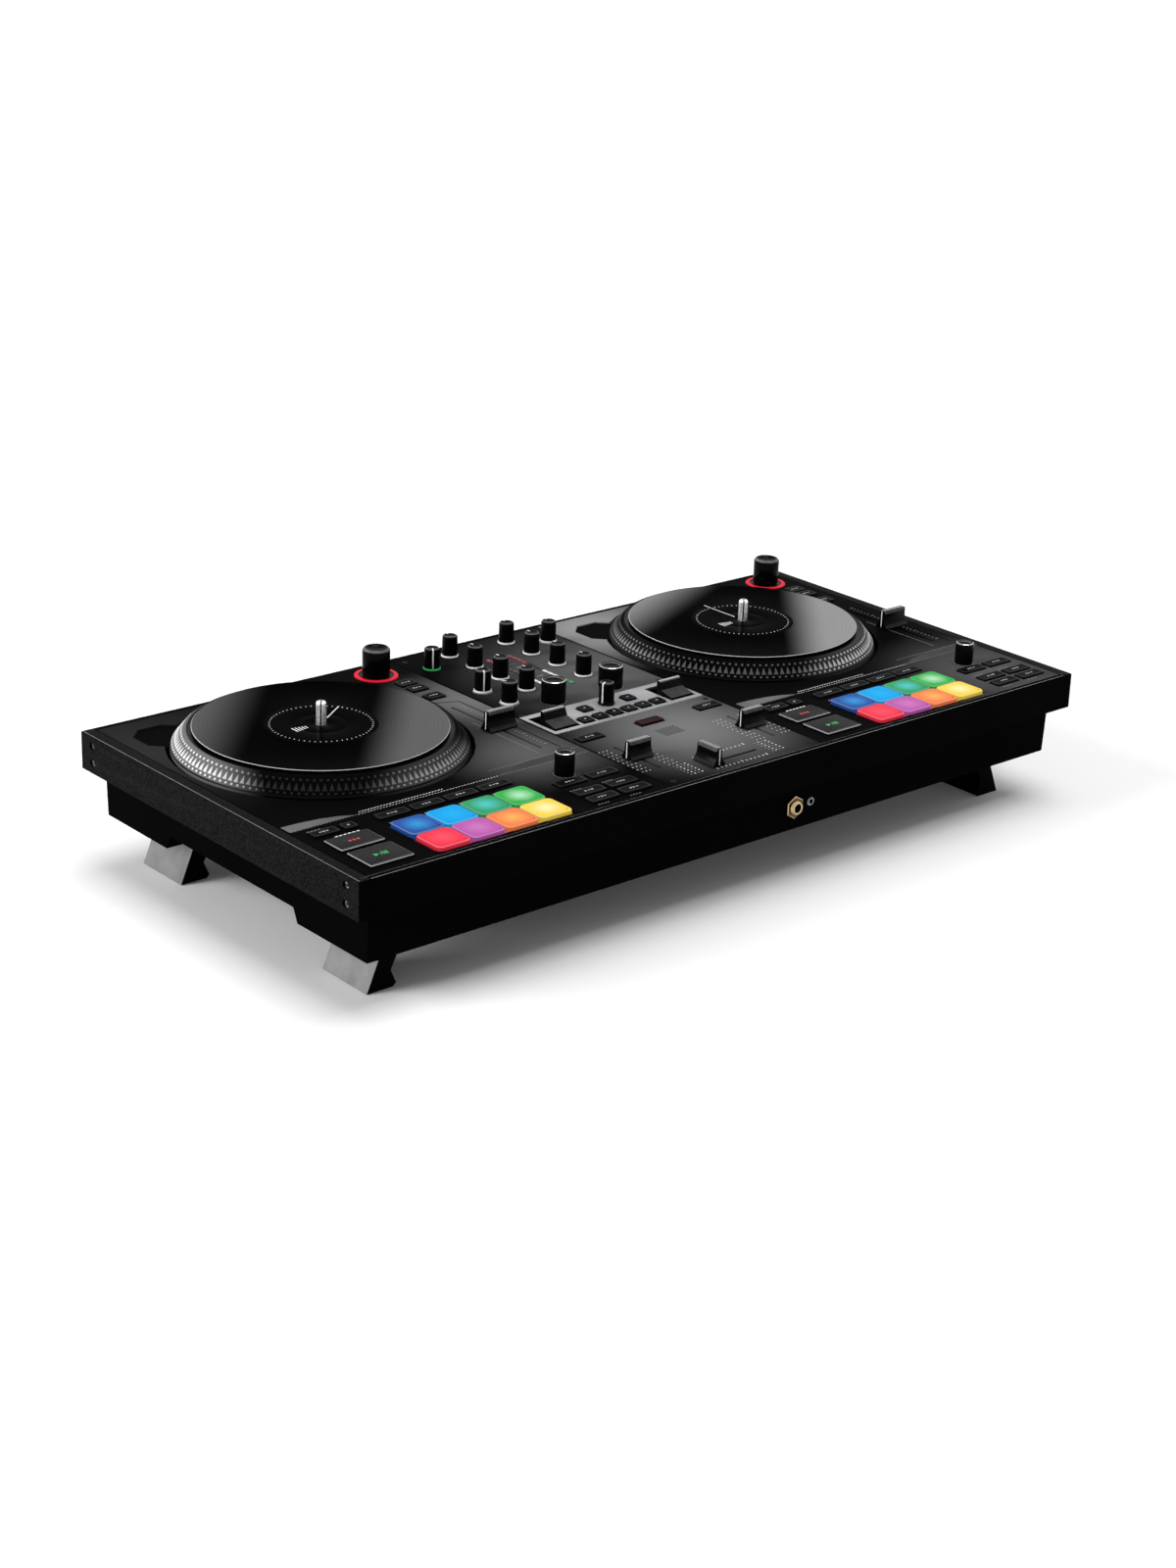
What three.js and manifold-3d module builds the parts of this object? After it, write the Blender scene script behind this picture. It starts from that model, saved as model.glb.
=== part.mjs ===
// Two-deck DJ controller with platters, records, a mixer section and four folding feet.
// Millimetres, +Z up. The origin is under the middle of the body, on the surface it stands on.
// Inside body_group x runs from the left cheek, y from the front edge and z from the top plates.
import * as THREE from 'three';
import { mergeVertices } from 'three/addons/utils/BufferGeometryUtils.js';
import Module from 'manifold-3d';

const wasm = await Module();
wasm.setup();

// Whole body
const upper_body_height = 27.3;
const fit_gap = 0.3;
const round_steps_count = 16;
const small_round_steps_count = 12;
const hidden_round_steps_count = 8;
const wide_round_steps_count = 42;
const ring_round_steps_count = 24;
const key_corner_steps_count = 1;
const pad_corner_steps_count = 2;

// Cheeks and upper frame
const cheek_width = 9.2;
const cheek_edge_chamfer = 0.8;
const cheek_screw_inset = 14;
const cheek_screw_first_depth = 7.1;
const cheek_screw_pitch = 12.8;
const cheek_screw_head_radius = 3.2;
const cheek_screw_hole_radius = 1.8;
const cheek_screw_sink = 4;
const frame_lip = 4;
const frame_ledge = 3;
const frame_side_wall = 3;
const frame_floor = 2.5;
const frame_opening_side_inset = 22;
const frame_opening_end_inset = 18;
const plate_thickness = 2;

// Lower tray with its two deeper foot beds
const tray_side_inset = 14.2;
const tray_front_setback_top = 9.2;
const tray_front_setback_bottom = 10.6;
const tray_back_setback_top = 7.4;
const tray_back_setback_bottom = 9.2;
const bed_drop = 10;
const bed_height = 35.7;
const bed_length = 75.4;
const bed_slope_length = 4.7;
const tray_wall = 2.5;

// Folding feet
const foot_height = 37;
const foot_front_start = 36;
const foot_back_margin = 23;
const foot_bed_margin = 26.7;
const foot_outer_x = 32.9;
const foot_toe_inner_x = 54.2;
const foot_toe_tip_x = 56.6;
const foot_toe_tip_rise = 2.5;
const foot_waist_x = 52.2;
const foot_waist_rise = 12.5;
const foot_flare_x = 56.9;
const foot_flare_rise = 21.7;
const foot_hinge_x = 51.5;
const foot_hinge_drop = 6;
const foot_knuckle_radius = 5.7;
const foot_pin_radius = 2;
const foot_pin_overhang = 3;
const foot_lug_thickness = 3;
const foot_lug_radius = 4.5;

// Platters, records and spindles
const platter_side_margin = 4.75;
const platter_front_gap = 21.76;
const platter_back_margin = 9.34;
const platter_column_width = 35.95;
const right_deck_lead = 5.64;
const right_deck_margin = 6.64;
const well_gap = 3.2;
const platter_slope_run = 10.5;
const platter_outer_radius = 103.5;
const platter_top = 12.3;
const platter_foot_top = 0.8;
const platter_foot_bottom = 3;
const platter_hub_radius = 20;
const platter_hub_depth = 12.6;
const bearing_post_radius = 18;
const record_rim_margin = 4.1;
const record_top = 14.6;
const record_thickness = 2;
const spindle_radius = 3.6;
const spindle_rise = 16.9;
const spindle_dome = 1.6;
const spindle_floor_gap = 6;

// Boards, posts and control bodies under the plates
const board_top_depth = 7.4;
const board_thickness = 1.6;
const board_side_inset = 18;
const board_front_inset = 14;
const board_hub_hole_radius = 30;
const board_post_size = 8;
const board_post_inset = 9;
const board_post_front_inset = 32;
const board_seam_gap = 1;
const socket_body_size = 12;
const socket_body_top_depth = 2.5;
const socket_hole_radius = 3.5;
const shaft_radius = 3;
const shaft_depth = 6.6;
const shaft_hole_radius = 3.5;

// Rotary controls
const knob_lift = 0.5;
const small_knob_radius = 6;
const small_knob_top_radius = 5.8;
const small_knob_height = 16.6;
const knob_skirt_radius = 6.6;
const knob_skirt_height = 1.2;
const knob_edge_chamfer = 0.7;
const channel_knob_reach = 27.6;
const channel_knob_spacing = 55;
const channel_knob_back_margin = 20.7;
const channel_knob_count = 4;
const outer_knob_side_margin = 15.1;
const outer_knob_right_margin = 15.2;
const outer_knob_back_margin = 36.2;
const outer_knob_pitch = 30.9;
const outer_knob_lead = 14.9;
const filter_knob_radius = 9.1;
const filter_knob_height = 16.4;
const filter_knob_front_gap = 13.2;
const filter_knob_chamfer = 1.1;
const effect_knob_front_gap = 7.3;
const effect_knob_radius = 5.7;
const loop_knob_lead = 19.6;
const loop_knob_front_gap = 3;
const loop_knob_radius = 7;
const loop_knob_height = 16.2;
const browse_knob_seam_margin = 26.8;
const browse_knob_back_margin = 23.2;
const browse_knob_radius = 10.4;
const browse_knob_height = 20.8;
const browse_knob_chamfer = 1.6;
const browse_knob_lift = 0.9;
const light_ring_radius = 16.4;
const light_ring_top = 0.5;
const light_ring_depth = 2.2;
const light_ring_bore_radius = 3.6;

// Sliding controls
const fader_slot_width = 2.6;
const fader_stem_thickness = 1.6;
const fader_stem_width = 6;
const fader_stem_depth = 6.8;
const fader_travel = 42;
const fader_cap_length = 20.5;
const fader_cap_height = 13;
const fader_cap_base_width = 12;
const fader_cap_waist_width = 5;
const fader_cap_top_width = 4.4;
const fader_cap_waist_share = 0.5;
const fader_cap_flare_share = 0.22;
const fader_cap_lift = 0.9;
const fader_housing_width = 11;
const fader_housing_end = 6;
const channel_fader_margin = 17.7;
const channel_fader_lead = 37;
const crossfader_y = 23;
const pitch_fader_seam_margin = 24.1;
const pitch_fader_back_gap = 11.05;
const pitch_travel = 94;
const pitch_rest = -3.5;
const pitch_cap_length = 24.5;
const pitch_cap_height = 14.4;

// Keys and pads
const key_top = 1.6;
const key_clearance = 0.35;
const key_web_top = 4.2;
const key_web_bottom = 6;
const key_corner_radius = 1.6;
const cue_x = 18.7;
const cue_width = 34;
const play_y = 12.5;
const play_depth = 26.3;
const cue_front_gap = 4.4;
const cue_depth = 20.3;
const transport_flange = 1.4;
const pad_lead = 16.2;
const pad_y = 8.8;
const pad_width = 26.8;
const pad_depth = 26.3;
const pad_gap_x = 1.4;
const pad_gap_y = 0.9;
const pad_top = 2.5;
const pad_corner_radius = 3;
const pad_columns_count = 4;
const pad_rows_count = 2;
const pad_web_margin = 1.2;
const mode_key_front_gap = 7.7;
const mode_key_depth = 9;
const mode_key_trim = 1.4;
const mode_key_lead = 0.6;
const shift_key_overhang = 0.3;
const shift_key_width = 20;
const sync_key_gap = 3.9;
const sync_key_width = 10.3;
const side_key_lead = 19.6;
const side_key_gap_x = 4;
const side_key_seam_margin = 11;
const side_key_width = 24.2;
const side_key_front_y = 12.4;
const side_key_gap = 3.7;
const side_key_group_gap = 10;
const side_key_depth = 9.8;
const list_key_seam_margin = 13.5;
const list_key_width = 14.6;
const list_key_depth = 10.8;
const list_key_group_gap = 9.2;
const list_key_gap = 2.8;
const list_key_back_gap = 6.9;
const key_bridge_lead = 9.9;
const key_bridge_width = 7;
const key_spine_seam_margin = 6.3;
const key_spine_width = 5.5;
const web_margin = 1.2;

// Mixer keys
const row_key_shift = -0.75;
const row_key_gap = 3.3;
const row_key_side_gap = 4.55;
const row_key_width = 10.4;
const row_key_front_gap = 19.4;
const row_key_depth = 9.8;
const row_key_count = 6;
const square_key_spacing = 41.2;
const square_key_front_gap = 7.7;
const square_key_size = 10;
const wide_key_margin = 4.5;
const wide_key_width = 22;
const wide_key_front_gap = 12.35;
const wide_key_depth = 9.2;
const wide_key_count = 3;
const key_link_width = 34;

// Effect paddles
const paddle_window_margin = 4.7;
const paddle_window_width = 23;
const paddle_window_lead = 0.3;
const paddle_window_depth = 29.8;
const paddle_pivot_lead = 14.5;
const paddle_pivot_depth = 5;
const paddle_width = 21;
const paddle_front_reach = 13;
const paddle_front_top = 1;
const paddle_front_bottom = 1;
const paddle_slope_top = 3.6;
const paddle_tab_front = 1.4;
const paddle_tab_back = 3.4;
const paddle_tab_top = 9.6;
const paddle_back_reach = 4;
const paddle_back_top = 1.6;
const paddle_hub_radius = 2.1;
const paddle_pin_radius = 1.2;
const paddle_pin_length = 2;
const paddle_ear_thickness = 2.6;
const paddle_ear_reach = 3.2;

// Level meter
const meter_strip_offset = 9.9;
const meter_strip_width = 3;
const meter_front_lead = 21;
const meter_back_margin = 43.7;
const meter_top = 0.2;
const meter_web_top = 2.6;
const meter_web_bottom = 4.6;

// Deck plate recess in the back left corner
const recess_side_margin = 13.3;
const recess_back_margin = 20.7;
const recess_size = 40;
const recess_corner = 10;
const recess_depth = 0.9;

// Sockets
const jack_seam_margin = 20.9;
const jack_floor_rise = 18;
const jack_hole_radius = 3.25;
const jack_collar_radius = 4.8;
const jack_collar_length = 5.4;
const jack_nut_radius = 8.8;
const jack_nut_gap = 0.7;
const jack_nut_thickness = 2.4;
const jack_nut_sides_count = 6;
const jack_wall_hole_radius = 5.1;
const jack_body_size = 16;
const jack_body_length = 22;
const jack_bore_length = 24;
const small_jack_pitch = 17.4;
const small_jack_ring_radius = 3.1;
const small_jack_hole_radius = 1.8;
const small_jack_wall_hole_radius = 3.4;
const small_jack_body_size = 9;
const rear_board_width = 120;
const rear_board_height = 16;
const rear_board_thickness = 2;
const rear_socket_floor_rise = 21;
const usb_width = 12;
const usb_height = 11;
const usb_wall = 1.5;
const usb_offset = -45;
const power_radius = 5.5;
const power_hole_radius = 3.2;
const power_offset = -20;
const line_out_radius = 4.2;
const line_out_hole_radius = 1.9;
const line_out_offset = 18;
const line_out_pitch = 18;
const line_out_count = 2;
const rear_socket_overhang = 2;

// The layout follows from the sizes above. First the front rows of a deck: transport keys,
// pads, mode keys, side keys and the loop knob.
const cue_y = play_y + play_depth + cue_front_gap;
const pad_pitch_x = pad_width + pad_gap_x;
const pad_pitch_y = pad_depth + pad_gap_y;
const pad_x = cue_x + cue_width + pad_lead;
const pad_end_x = pad_x + (pad_columns_count - 1) * pad_pitch_x + pad_width;
const pad_end_y = pad_y + (pad_rows_count - 1) * pad_pitch_y + pad_depth;
const mode_key_x = pad_x + mode_key_lead;
const mode_key_width = pad_width - mode_key_trim;
const mode_key_y = Math.max(pad_end_y, cue_y + cue_depth) + mode_key_front_gap;
const shift_key_x = cue_x - shift_key_overhang;
const sync_key_x = shift_key_x + shift_key_width + sync_key_gap;
const side_key_x = pad_end_x + side_key_lead;
const side_key_pitch = side_key_width + side_key_gap_x;
const side_key_middle_y = side_key_front_y + side_key_depth + side_key_gap;
const side_key_back_y = side_key_middle_y + side_key_depth + side_key_group_gap;
const loop_knob_x = side_key_x + loop_knob_lead;
const loop_knob_y = side_key_back_y + side_key_depth + loop_knob_front_gap + loop_knob_radius;
const key_bridge_x = side_key_x - key_bridge_lead;
const key_bridge_end_x = key_bridge_x + key_bridge_width;

// Heights: the feet stand under the beds, and the sockets and spindles sit over the tray's floor.
const bed_depth = upper_body_height + bed_height;
const foot_length = bed_length - foot_bed_margin;
const tray_depth = bed_depth - bed_drop;
const plate_height = bed_depth + foot_height;
const foot_hinge_rise = foot_height - foot_hinge_drop;
const spindle_depth = tray_depth - spindle_floor_gap;
const jack_depth = bed_depth - jack_floor_rise;
const rear_socket_z_depth = bed_depth - rear_socket_floor_rise;

// The platter lies behind the front rows. A deck is as wide as its wider row.
const well_radius = platter_outer_radius + well_gap;
const platter_rim_radius = platter_outer_radius - platter_slope_run;
const record_radius = platter_rim_radius - record_rim_margin;
const platter_x = cheek_width + platter_side_margin + well_radius;
const platter_y = mode_key_y + mode_key_depth + platter_front_gap + well_radius;
const front_row_end_x = side_key_x + side_key_pitch + side_key_width + side_key_seam_margin;
const platter_row_end_x = platter_x + well_radius + platter_column_width;
const deck_seam_x = Math.max(front_row_end_x, platter_row_end_x);
const overall_depth = platter_y + well_radius + platter_back_margin;

// The column at the deck's seam, from the back edge to the front.
const browse_knob_x = deck_seam_x - browse_knob_seam_margin;
const browse_knob_y = overall_depth - browse_knob_back_margin;
const list_key_x = deck_seam_x - list_key_seam_margin - list_key_width;
const list_key_back_y = browse_knob_y - light_ring_radius - list_key_back_gap - list_key_depth;
const list_key_middle_y = list_key_back_y - list_key_gap - list_key_depth;
const list_key_front_y = list_key_middle_y - list_key_group_gap - list_key_depth;
const pitch_fader_x = deck_seam_x - pitch_fader_seam_margin;
const pitch_fader_reach = (pitch_travel + pitch_cap_length) / 2;
const pitch_fader_y = list_key_front_y - pitch_fader_back_gap - pitch_fader_reach;
const key_spine_x = deck_seam_x - key_spine_seam_margin - key_spine_width;
const recess_x = cheek_width + recess_side_margin;
const recess_y = overall_depth - recess_back_margin - recess_size;
const foot_back_start = overall_depth - foot_back_margin - foot_length;

// The mixer between the decks is as wide as its key row with a paddle at each end.
const row_key_pitch = row_key_width + row_key_gap;
const row_key_reach = ((row_key_count - 1) * row_key_pitch + row_key_width) / 2;
const mixer_reach =
  row_key_reach + row_key_side_gap + paddle_window_width + paddle_window_margin;
const crossfader_x = deck_seam_x + mixer_reach;
const mixer_right_seam_x = crossfader_x + mixer_reach;
const deck_pitch = mixer_right_seam_x - right_deck_lead;
const overall_width = deck_pitch + deck_seam_x + right_deck_margin;
const row_key_x = crossfader_x + row_key_shift - row_key_reach;
const wide_key_pitch = mixer_reach - wide_key_margin - wide_key_width / 2;
const wide_key_x = crossfader_x - wide_key_pitch - wide_key_width / 2;
const square_key_x = crossfader_x - (square_key_spacing + square_key_size) / 2;
const key_link_x = crossfader_x - key_link_width / 2;
const paddle_window_x = deck_seam_x + paddle_window_margin;
const channel_fader_x = deck_seam_x + channel_fader_margin;
const channel_fader_spacing = mixer_right_seam_x - channel_fader_margin - channel_fader_x;
const channel_knob_x = crossfader_x - channel_knob_reach;
const outer_knob_x = deck_seam_x + outer_knob_side_margin;
const outer_knob_right_x = mixer_right_seam_x - outer_knob_right_margin;
const effect_knob_x = crossfader_x;
const jack_x = mixer_right_seam_x - jack_seam_margin;
const small_jack_x = jack_x + small_jack_pitch;

// The mixer's rows, from the front edge: faders, keys, paddles and knobs.
const channel_fader_y = crossfader_y + channel_fader_lead;
const channel_fader_reach = (fader_travel + fader_cap_length) / 2;
const wide_key_y = channel_fader_y + channel_fader_reach + wide_key_front_gap;
const row_key_y = wide_key_y + wide_key_depth + row_key_front_gap;
const row_key_end_y = row_key_y + row_key_depth;
const square_key_y = row_key_end_y + square_key_front_gap;
const effect_knob_y = row_key_end_y + effect_knob_front_gap + effect_knob_radius;
const paddle_window_y = row_key_y + paddle_window_lead;
const paddle_pivot_y = paddle_window_y + paddle_pivot_lead;
const square_key_end_y = square_key_y + square_key_size;
const filter_knob_y = square_key_end_y + filter_knob_front_gap + filter_knob_radius;
const channel_knob_back_y = overall_depth - channel_knob_back_margin;
const channel_knob_pitch = (channel_knob_back_y - filter_knob_y) / channel_knob_count;
const channel_knob_front_y = filter_knob_y + channel_knob_pitch;
const outer_knob_back_y = overall_depth - outer_knob_back_margin;
const outer_knob_front_y = filter_knob_y + outer_knob_lead;
const outer_knob_middle_y = outer_knob_front_y + outer_knob_pitch;
const meter_strip_y = filter_knob_y + meter_front_lead;
const meter_strip_length = overall_depth - meter_back_margin - meter_strip_y;

// Finishes
const finish = {
  body_metal: { color: 0x1b1c1e, roughness: 0.55, metalness: 0.6 },
  cheek_metal: { color: 0x3a3b3e, roughness: 0.7, metalness: 0.5 },
  plate_metal: { color: 0x2b2c2f, roughness: 0.4, metalness: 0.7 },
  platter_metal: { color: 0x4a4b4e, roughness: 0.35, metalness: 0.9 },
  bright_metal: { color: 0xd8dadd, roughness: 0.12, metalness: 1 },
  brass: { color: 0xc9a86a, roughness: 0.3, metalness: 1 },
  vinyl: { color: 0x08080a, roughness: 0.22, metalness: 0 },
  black_plastic: { color: 0x0d0d0f, roughness: 0.45, metalness: 0 },
  key_rubber: { color: 0x26272a, roughness: 0.5, metalness: 0 },
  pad_silicone: { color: 0xd9dde6, roughness: 0.6, metalness: 0 },
  foot_plastic: { color: 0x55575b, roughness: 0.6, metalness: 0 },
  board: { color: 0x14331f, roughness: 0.6, metalness: 0 },
  red_light: { color: 0xff2d3c, roughness: 0.4, metalness: 0 },
  meter_light: { color: 0xe8efe4, roughness: 0.4, metalness: 0 },
};

// Turns a closed three.js geometry into a solid.
function solid(geometry) {
  const shape = geometry.clone();
  shape.deleteAttribute('normal');
  shape.deleteAttribute('uv');
  const merged = mergeVertices(shape);
  const corners = merged.getIndex().array;
  const kept = [];
  for (let i = 0; i < corners.length; i += 3) {
    const [a, b, c] = [corners[i], corners[i + 1], corners[i + 2]];
    if (a !== b && b !== c && c !== a) {
      kept.push(a, b, c);
    }
  }
  const positions = merged.getAttribute('position').array;
  if (signedVolume(positions, kept) < 0) {
    kept.reverse();
  }
  const mesh = new wasm.Mesh({
    numProp: 3,
    vertProperties: new Float32Array(positions),
    triVerts: new Uint32Array(kept),
  });
  return new wasm.Manifold(mesh);
}

function signedVolume(positions, corners) {
  const [a, b, c] = [new THREE.Vector3(), new THREE.Vector3(), new THREE.Vector3()];
  let total = 0;
  for (let i = 0; i < corners.length; i += 3) {
    a.fromArray(positions, corners[i] * 3);
    b.fromArray(positions, corners[i + 1] * 3);
    c.fromArray(positions, corners[i + 2] * 3);
    total += a.dot(b.cross(c));
  }
  return total;
}

function joined(solids) {
  return solids.reduce((whole, next) => whole.add(next));
}

function cut(whole, holes) {
  return holes.reduce((rest, hole) => rest.subtract(hole), whole);
}

function block(x0, x1, y0, y1, z0, z1) {
  const geometry = new THREE.BoxGeometry(x1 - x0, y1 - y0, z1 - z0);
  geometry.translate((x0 + x1) / 2, (y0 + y1) / 2, (z0 + z1) / 2);
  return solid(geometry);
}

// An area in X and Y, raised along Z.
function flatBlock(area, z0, z1) {
  return block(area.x, area.x + area.width, area.y, area.y + area.depth, z0, z1);
}

// A round bar standing on z0.
function post(x, y, radius, z0, z1, steps = small_round_steps_count) {
  const geometry = new THREE.CylinderGeometry(radius, radius, z1 - z0, steps);
  geometry.rotateX(Math.PI / 2);
  geometry.translate(x, y, (z0 + z1) / 2);
  return solid(geometry);
}

// A round bar lying along X.
function barAlongX(x0, x1, y, z, radius, steps = small_round_steps_count) {
  const geometry = new THREE.CylinderGeometry(radius, radius, x1 - x0, steps);
  geometry.rotateZ(-Math.PI / 2);
  geometry.translate((x0 + x1) / 2, y, z);
  return solid(geometry);
}

// A round bar lying along Y.
function barAlongY(x, y0, y1, z, radius, steps = small_round_steps_count) {
  const geometry = new THREE.CylinderGeometry(radius, radius, y1 - y0, steps);
  geometry.translate(x, (y0 + y1) / 2, z);
  return solid(geometry);
}

// A profile of [radius, height] points turned about the Z axis.
function turned(profile, steps) {
  const points = profile.map(([radius, height]) => new THREE.Vector2(radius, height));
  const geometry = new THREE.LatheGeometry(points, steps);
  geometry.rotateX(Math.PI / 2);
  return solid(geometry);
}

function shapeFrom(points) {
  return new THREE.Shape(points.map(([u, v]) => new THREE.Vector2(u, v)));
}

// An outline in X and Y, raised along Z.
function raised(shape, z0, z1, curveSegments = small_round_steps_count) {
  const options = { depth: z1 - z0, bevelEnabled: false, curveSegments };
  const geometry = new THREE.ExtrudeGeometry(shape, options);
  geometry.translate(0, 0, z0);
  return solid(geometry);
}

// A profile in Y and Z, drawn out along X.
function drawnAlongX(points, x0, x1) {
  const options = { depth: x1 - x0, bevelEnabled: false };
  const geometry = new THREE.ExtrudeGeometry(shapeFrom(points), options);
  const turn = new THREE.Matrix4().makeBasis(
    new THREE.Vector3(0, 1, 0),
    new THREE.Vector3(0, 0, 1),
    new THREE.Vector3(1, 0, 0),
  );
  geometry.applyMatrix4(turn);
  geometry.translate(x0, 0, 0);
  return solid(geometry);
}

// A profile in X and Z, drawn out along Y.
function drawnAlongY(points, y0, y1) {
  const options = { depth: y1 - y0, bevelEnabled: false };
  const geometry = new THREE.ExtrudeGeometry(shapeFrom(points), options);
  const turn = new THREE.Matrix4().makeBasis(
    new THREE.Vector3(1, 0, 0),
    new THREE.Vector3(0, 0, 1),
    new THREE.Vector3(0, -1, 0),
  );
  geometry.applyMatrix4(turn);
  geometry.translate(0, y1, 0);
  return solid(geometry);
}

function roundedOutline(x0, y0, x1, y1, radius) {
  const shape = new THREE.Shape();
  shape.moveTo(x0 + radius, y0);
  shape.lineTo(x1 - radius, y0);
  shape.absarc(x1 - radius, y0 + radius, radius, -Math.PI / 2, 0, false);
  shape.lineTo(x1, y1 - radius);
  shape.absarc(x1 - radius, y1 - radius, radius, 0, Math.PI / 2, false);
  shape.lineTo(x0 + radius, y1);
  shape.absarc(x0 + radius, y1 - radius, radius, Math.PI / 2, Math.PI, false);
  shape.lineTo(x0, y0 + radius);
  shape.absarc(x0 + radius, y0 + radius, radius, Math.PI, Math.PI * 1.5, false);
  return shape;
}

function roundedBlock(area, radius, z0, z1, steps = key_corner_steps_count) {
  const outline = roundedOutline(area.x, area.y, area.x + area.width, area.y + area.depth, radius);
  return raised(outline, z0, z1, steps);
}

function grown(area, margin) {
  return {
    x: area.x - margin,
    y: area.y - margin,
    width: area.width + 2 * margin,
    depth: area.depth + 2 * margin,
  };
}

function piece(group, name, shape, look) {
  const mesh = shape.getMesh();
  const geometry = new THREE.BufferGeometry();
  const positions = new Float32Array(mesh.vertProperties);
  geometry.setAttribute('position', new THREE.BufferAttribute(positions, 3));
  geometry.setIndex(new THREE.BufferAttribute(new Uint32Array(mesh.triVerts), 1));
  geometry.computeVertexNormals();
  const item = new THREE.Mesh(geometry, new THREE.MeshStandardMaterial(look));
  item.name = name;
  group.add(item);
  return item;
}

const controller = new THREE.Group();
const body_group = new THREE.Group();
body_group.position.set(-overall_width / 2, -overall_depth / 2, plate_height);
controller.add(body_group);

const side_names = ['left', 'right'];
const deck_starts = [0, deck_pitch];

// The plates' outlines, from seam to seam.
const plate_front = frame_lip + fit_gap;
const plate_back = overall_depth - frame_lip - fit_gap;
const plate_edges = {
  left: [cheek_width + fit_gap, deck_seam_x - fit_gap / 2],
  mixer: [deck_seam_x + fit_gap / 2, mixer_right_seam_x - fit_gap / 2],
  right: [mixer_right_seam_x + fit_gap / 2, overall_width - cheek_width - fit_gap],
};

// Keys of one deck, in the left deck's place.
const shift_area = { x: shift_key_x, y: mode_key_y, width: shift_key_width, depth: mode_key_depth };
const sync_area = { x: sync_key_x, y: mode_key_y, width: sync_key_width, depth: mode_key_depth };
const mode_areas = [];
for (let column = 0; column < pad_columns_count; column += 1) {
  mode_areas.push({
    x: mode_key_x + column * pad_pitch_x,
    y: mode_key_y,
    width: mode_key_width,
    depth: mode_key_depth,
  });
}
const side_areas = [];
for (const y of [side_key_front_y, side_key_middle_y, side_key_back_y]) {
  for (const x of [side_key_x, side_key_x + side_key_pitch]) {
    side_areas.push({ x, y, width: side_key_width, depth: side_key_depth });
  }
}
const list_areas = [];
for (const y of [list_key_front_y, list_key_middle_y, list_key_back_y]) {
  list_areas.push({ x: list_key_x, y, width: list_key_width, depth: list_key_depth });
}
const deck_key_areas = [shift_area, sync_area, ...mode_areas, ...side_areas, ...list_areas];
const cue_area = { x: cue_x, y: cue_y, width: cue_width, depth: cue_depth };
const play_area = { x: cue_x, y: play_y, width: cue_width, depth: play_depth };
const pad_area = {
  x: pad_x,
  y: pad_y,
  width: pad_end_x - pad_x,
  depth: pad_end_y - pad_y,
};

// Keys of the mixer.
const row_areas = [];
for (let column = 0; column < row_key_count; column += 1) {
  row_areas.push({
    x: row_key_x + column * row_key_pitch,
    y: row_key_y,
    width: row_key_width,
    depth: row_key_depth,
  });
}
const square_areas = [0, square_key_spacing].map((shift) => ({
  x: square_key_x + shift,
  y: square_key_y,
  width: square_key_size,
  depth: square_key_size,
}));
const wide_areas = [];
for (let column = 0; column < wide_key_count; column += 1) {
  wide_areas.push({
    x: wide_key_x + column * wide_key_pitch,
    y: wide_key_y,
    width: wide_key_width,
    depth: wide_key_depth,
  });
}
const mixer_key_areas = [...row_areas, ...square_areas, ...wide_areas];

// Where the mixer's knobs stand.
const channel_columns = [channel_knob_x, channel_knob_x + channel_knob_spacing];
const small_knob_places = [];
channel_columns.forEach((x, side) => {
  for (let row = 0; row < channel_knob_count; row += 1) {
    small_knob_places.push({
      name: `channel_knob_${side_names[side]}_${row + 1}`,
      x,
      y: channel_knob_front_y + row * channel_knob_pitch,
    });
  }
});
small_knob_places.push(
  { name: 'outer_knob_front', x: outer_knob_x, y: outer_knob_front_y },
  { name: 'outer_knob_middle', x: outer_knob_x, y: outer_knob_middle_y },
  { name: 'outer_knob_back', x: outer_knob_x, y: outer_knob_back_y },
  { name: 'outer_knob_right', x: outer_knob_right_x, y: outer_knob_back_y },
);
const filter_knob_places = channel_columns.map((x, side) => ({
  name: `filter_knob_${side_names[side]}`,
  x,
  y: filter_knob_y,
}));
const effect_knob_place = { name: 'effect_knob', x: effect_knob_x, y: effect_knob_y };
const mixer_knob_places = [...small_knob_places, ...filter_knob_places, effect_knob_place];

// Faders of the mixer: the middle of the slot, its direction and where the cap rests.
const fader_places = [
  { name: 'channel_fader_left', x: channel_fader_x, y: channel_fader_y, along: 'y', rest: 0 },
  {
    name: 'channel_fader_right',
    x: channel_fader_x + channel_fader_spacing,
    y: channel_fader_y,
    along: 'y',
    rest: 0,
  },
  { name: 'crossfader', x: crossfader_x, y: crossfader_y, along: 'x', rest: -fader_travel / 2 },
];

// The free run a fader stem needs, as a box round the slot's middle.
function slotArea(place, travel, width) {
  const run = travel + fader_stem_width + 2 * fit_gap;
  if (place.along === 'x') {
    return { x: place.x - run / 2, y: place.y - width / 2, width: run, depth: width };
  }
  return { x: place.x - width / 2, y: place.y - run / 2, width, depth: run };
}

function holeInPlate(area) {
  const opening = grown(area, key_clearance);
  return flatBlock(opening, -2 * plate_thickness, plate_thickness);
}

function roundedHoleInPlate(area, radius, steps) {
  const opening = grown(area, key_clearance);
  return roundedBlock(opening, radius, -2 * plate_thickness, plate_thickness, steps);
}

function roundHole(x, y, radius, steps = small_round_steps_count) {
  return post(x, y, radius, -2 * plate_thickness, plate_thickness, steps);
}

function slotHole(place, travel) {
  const area = slotArea(place, travel, fader_slot_width);
  return flatBlock(area, -2 * plate_thickness, plate_thickness);
}

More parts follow.
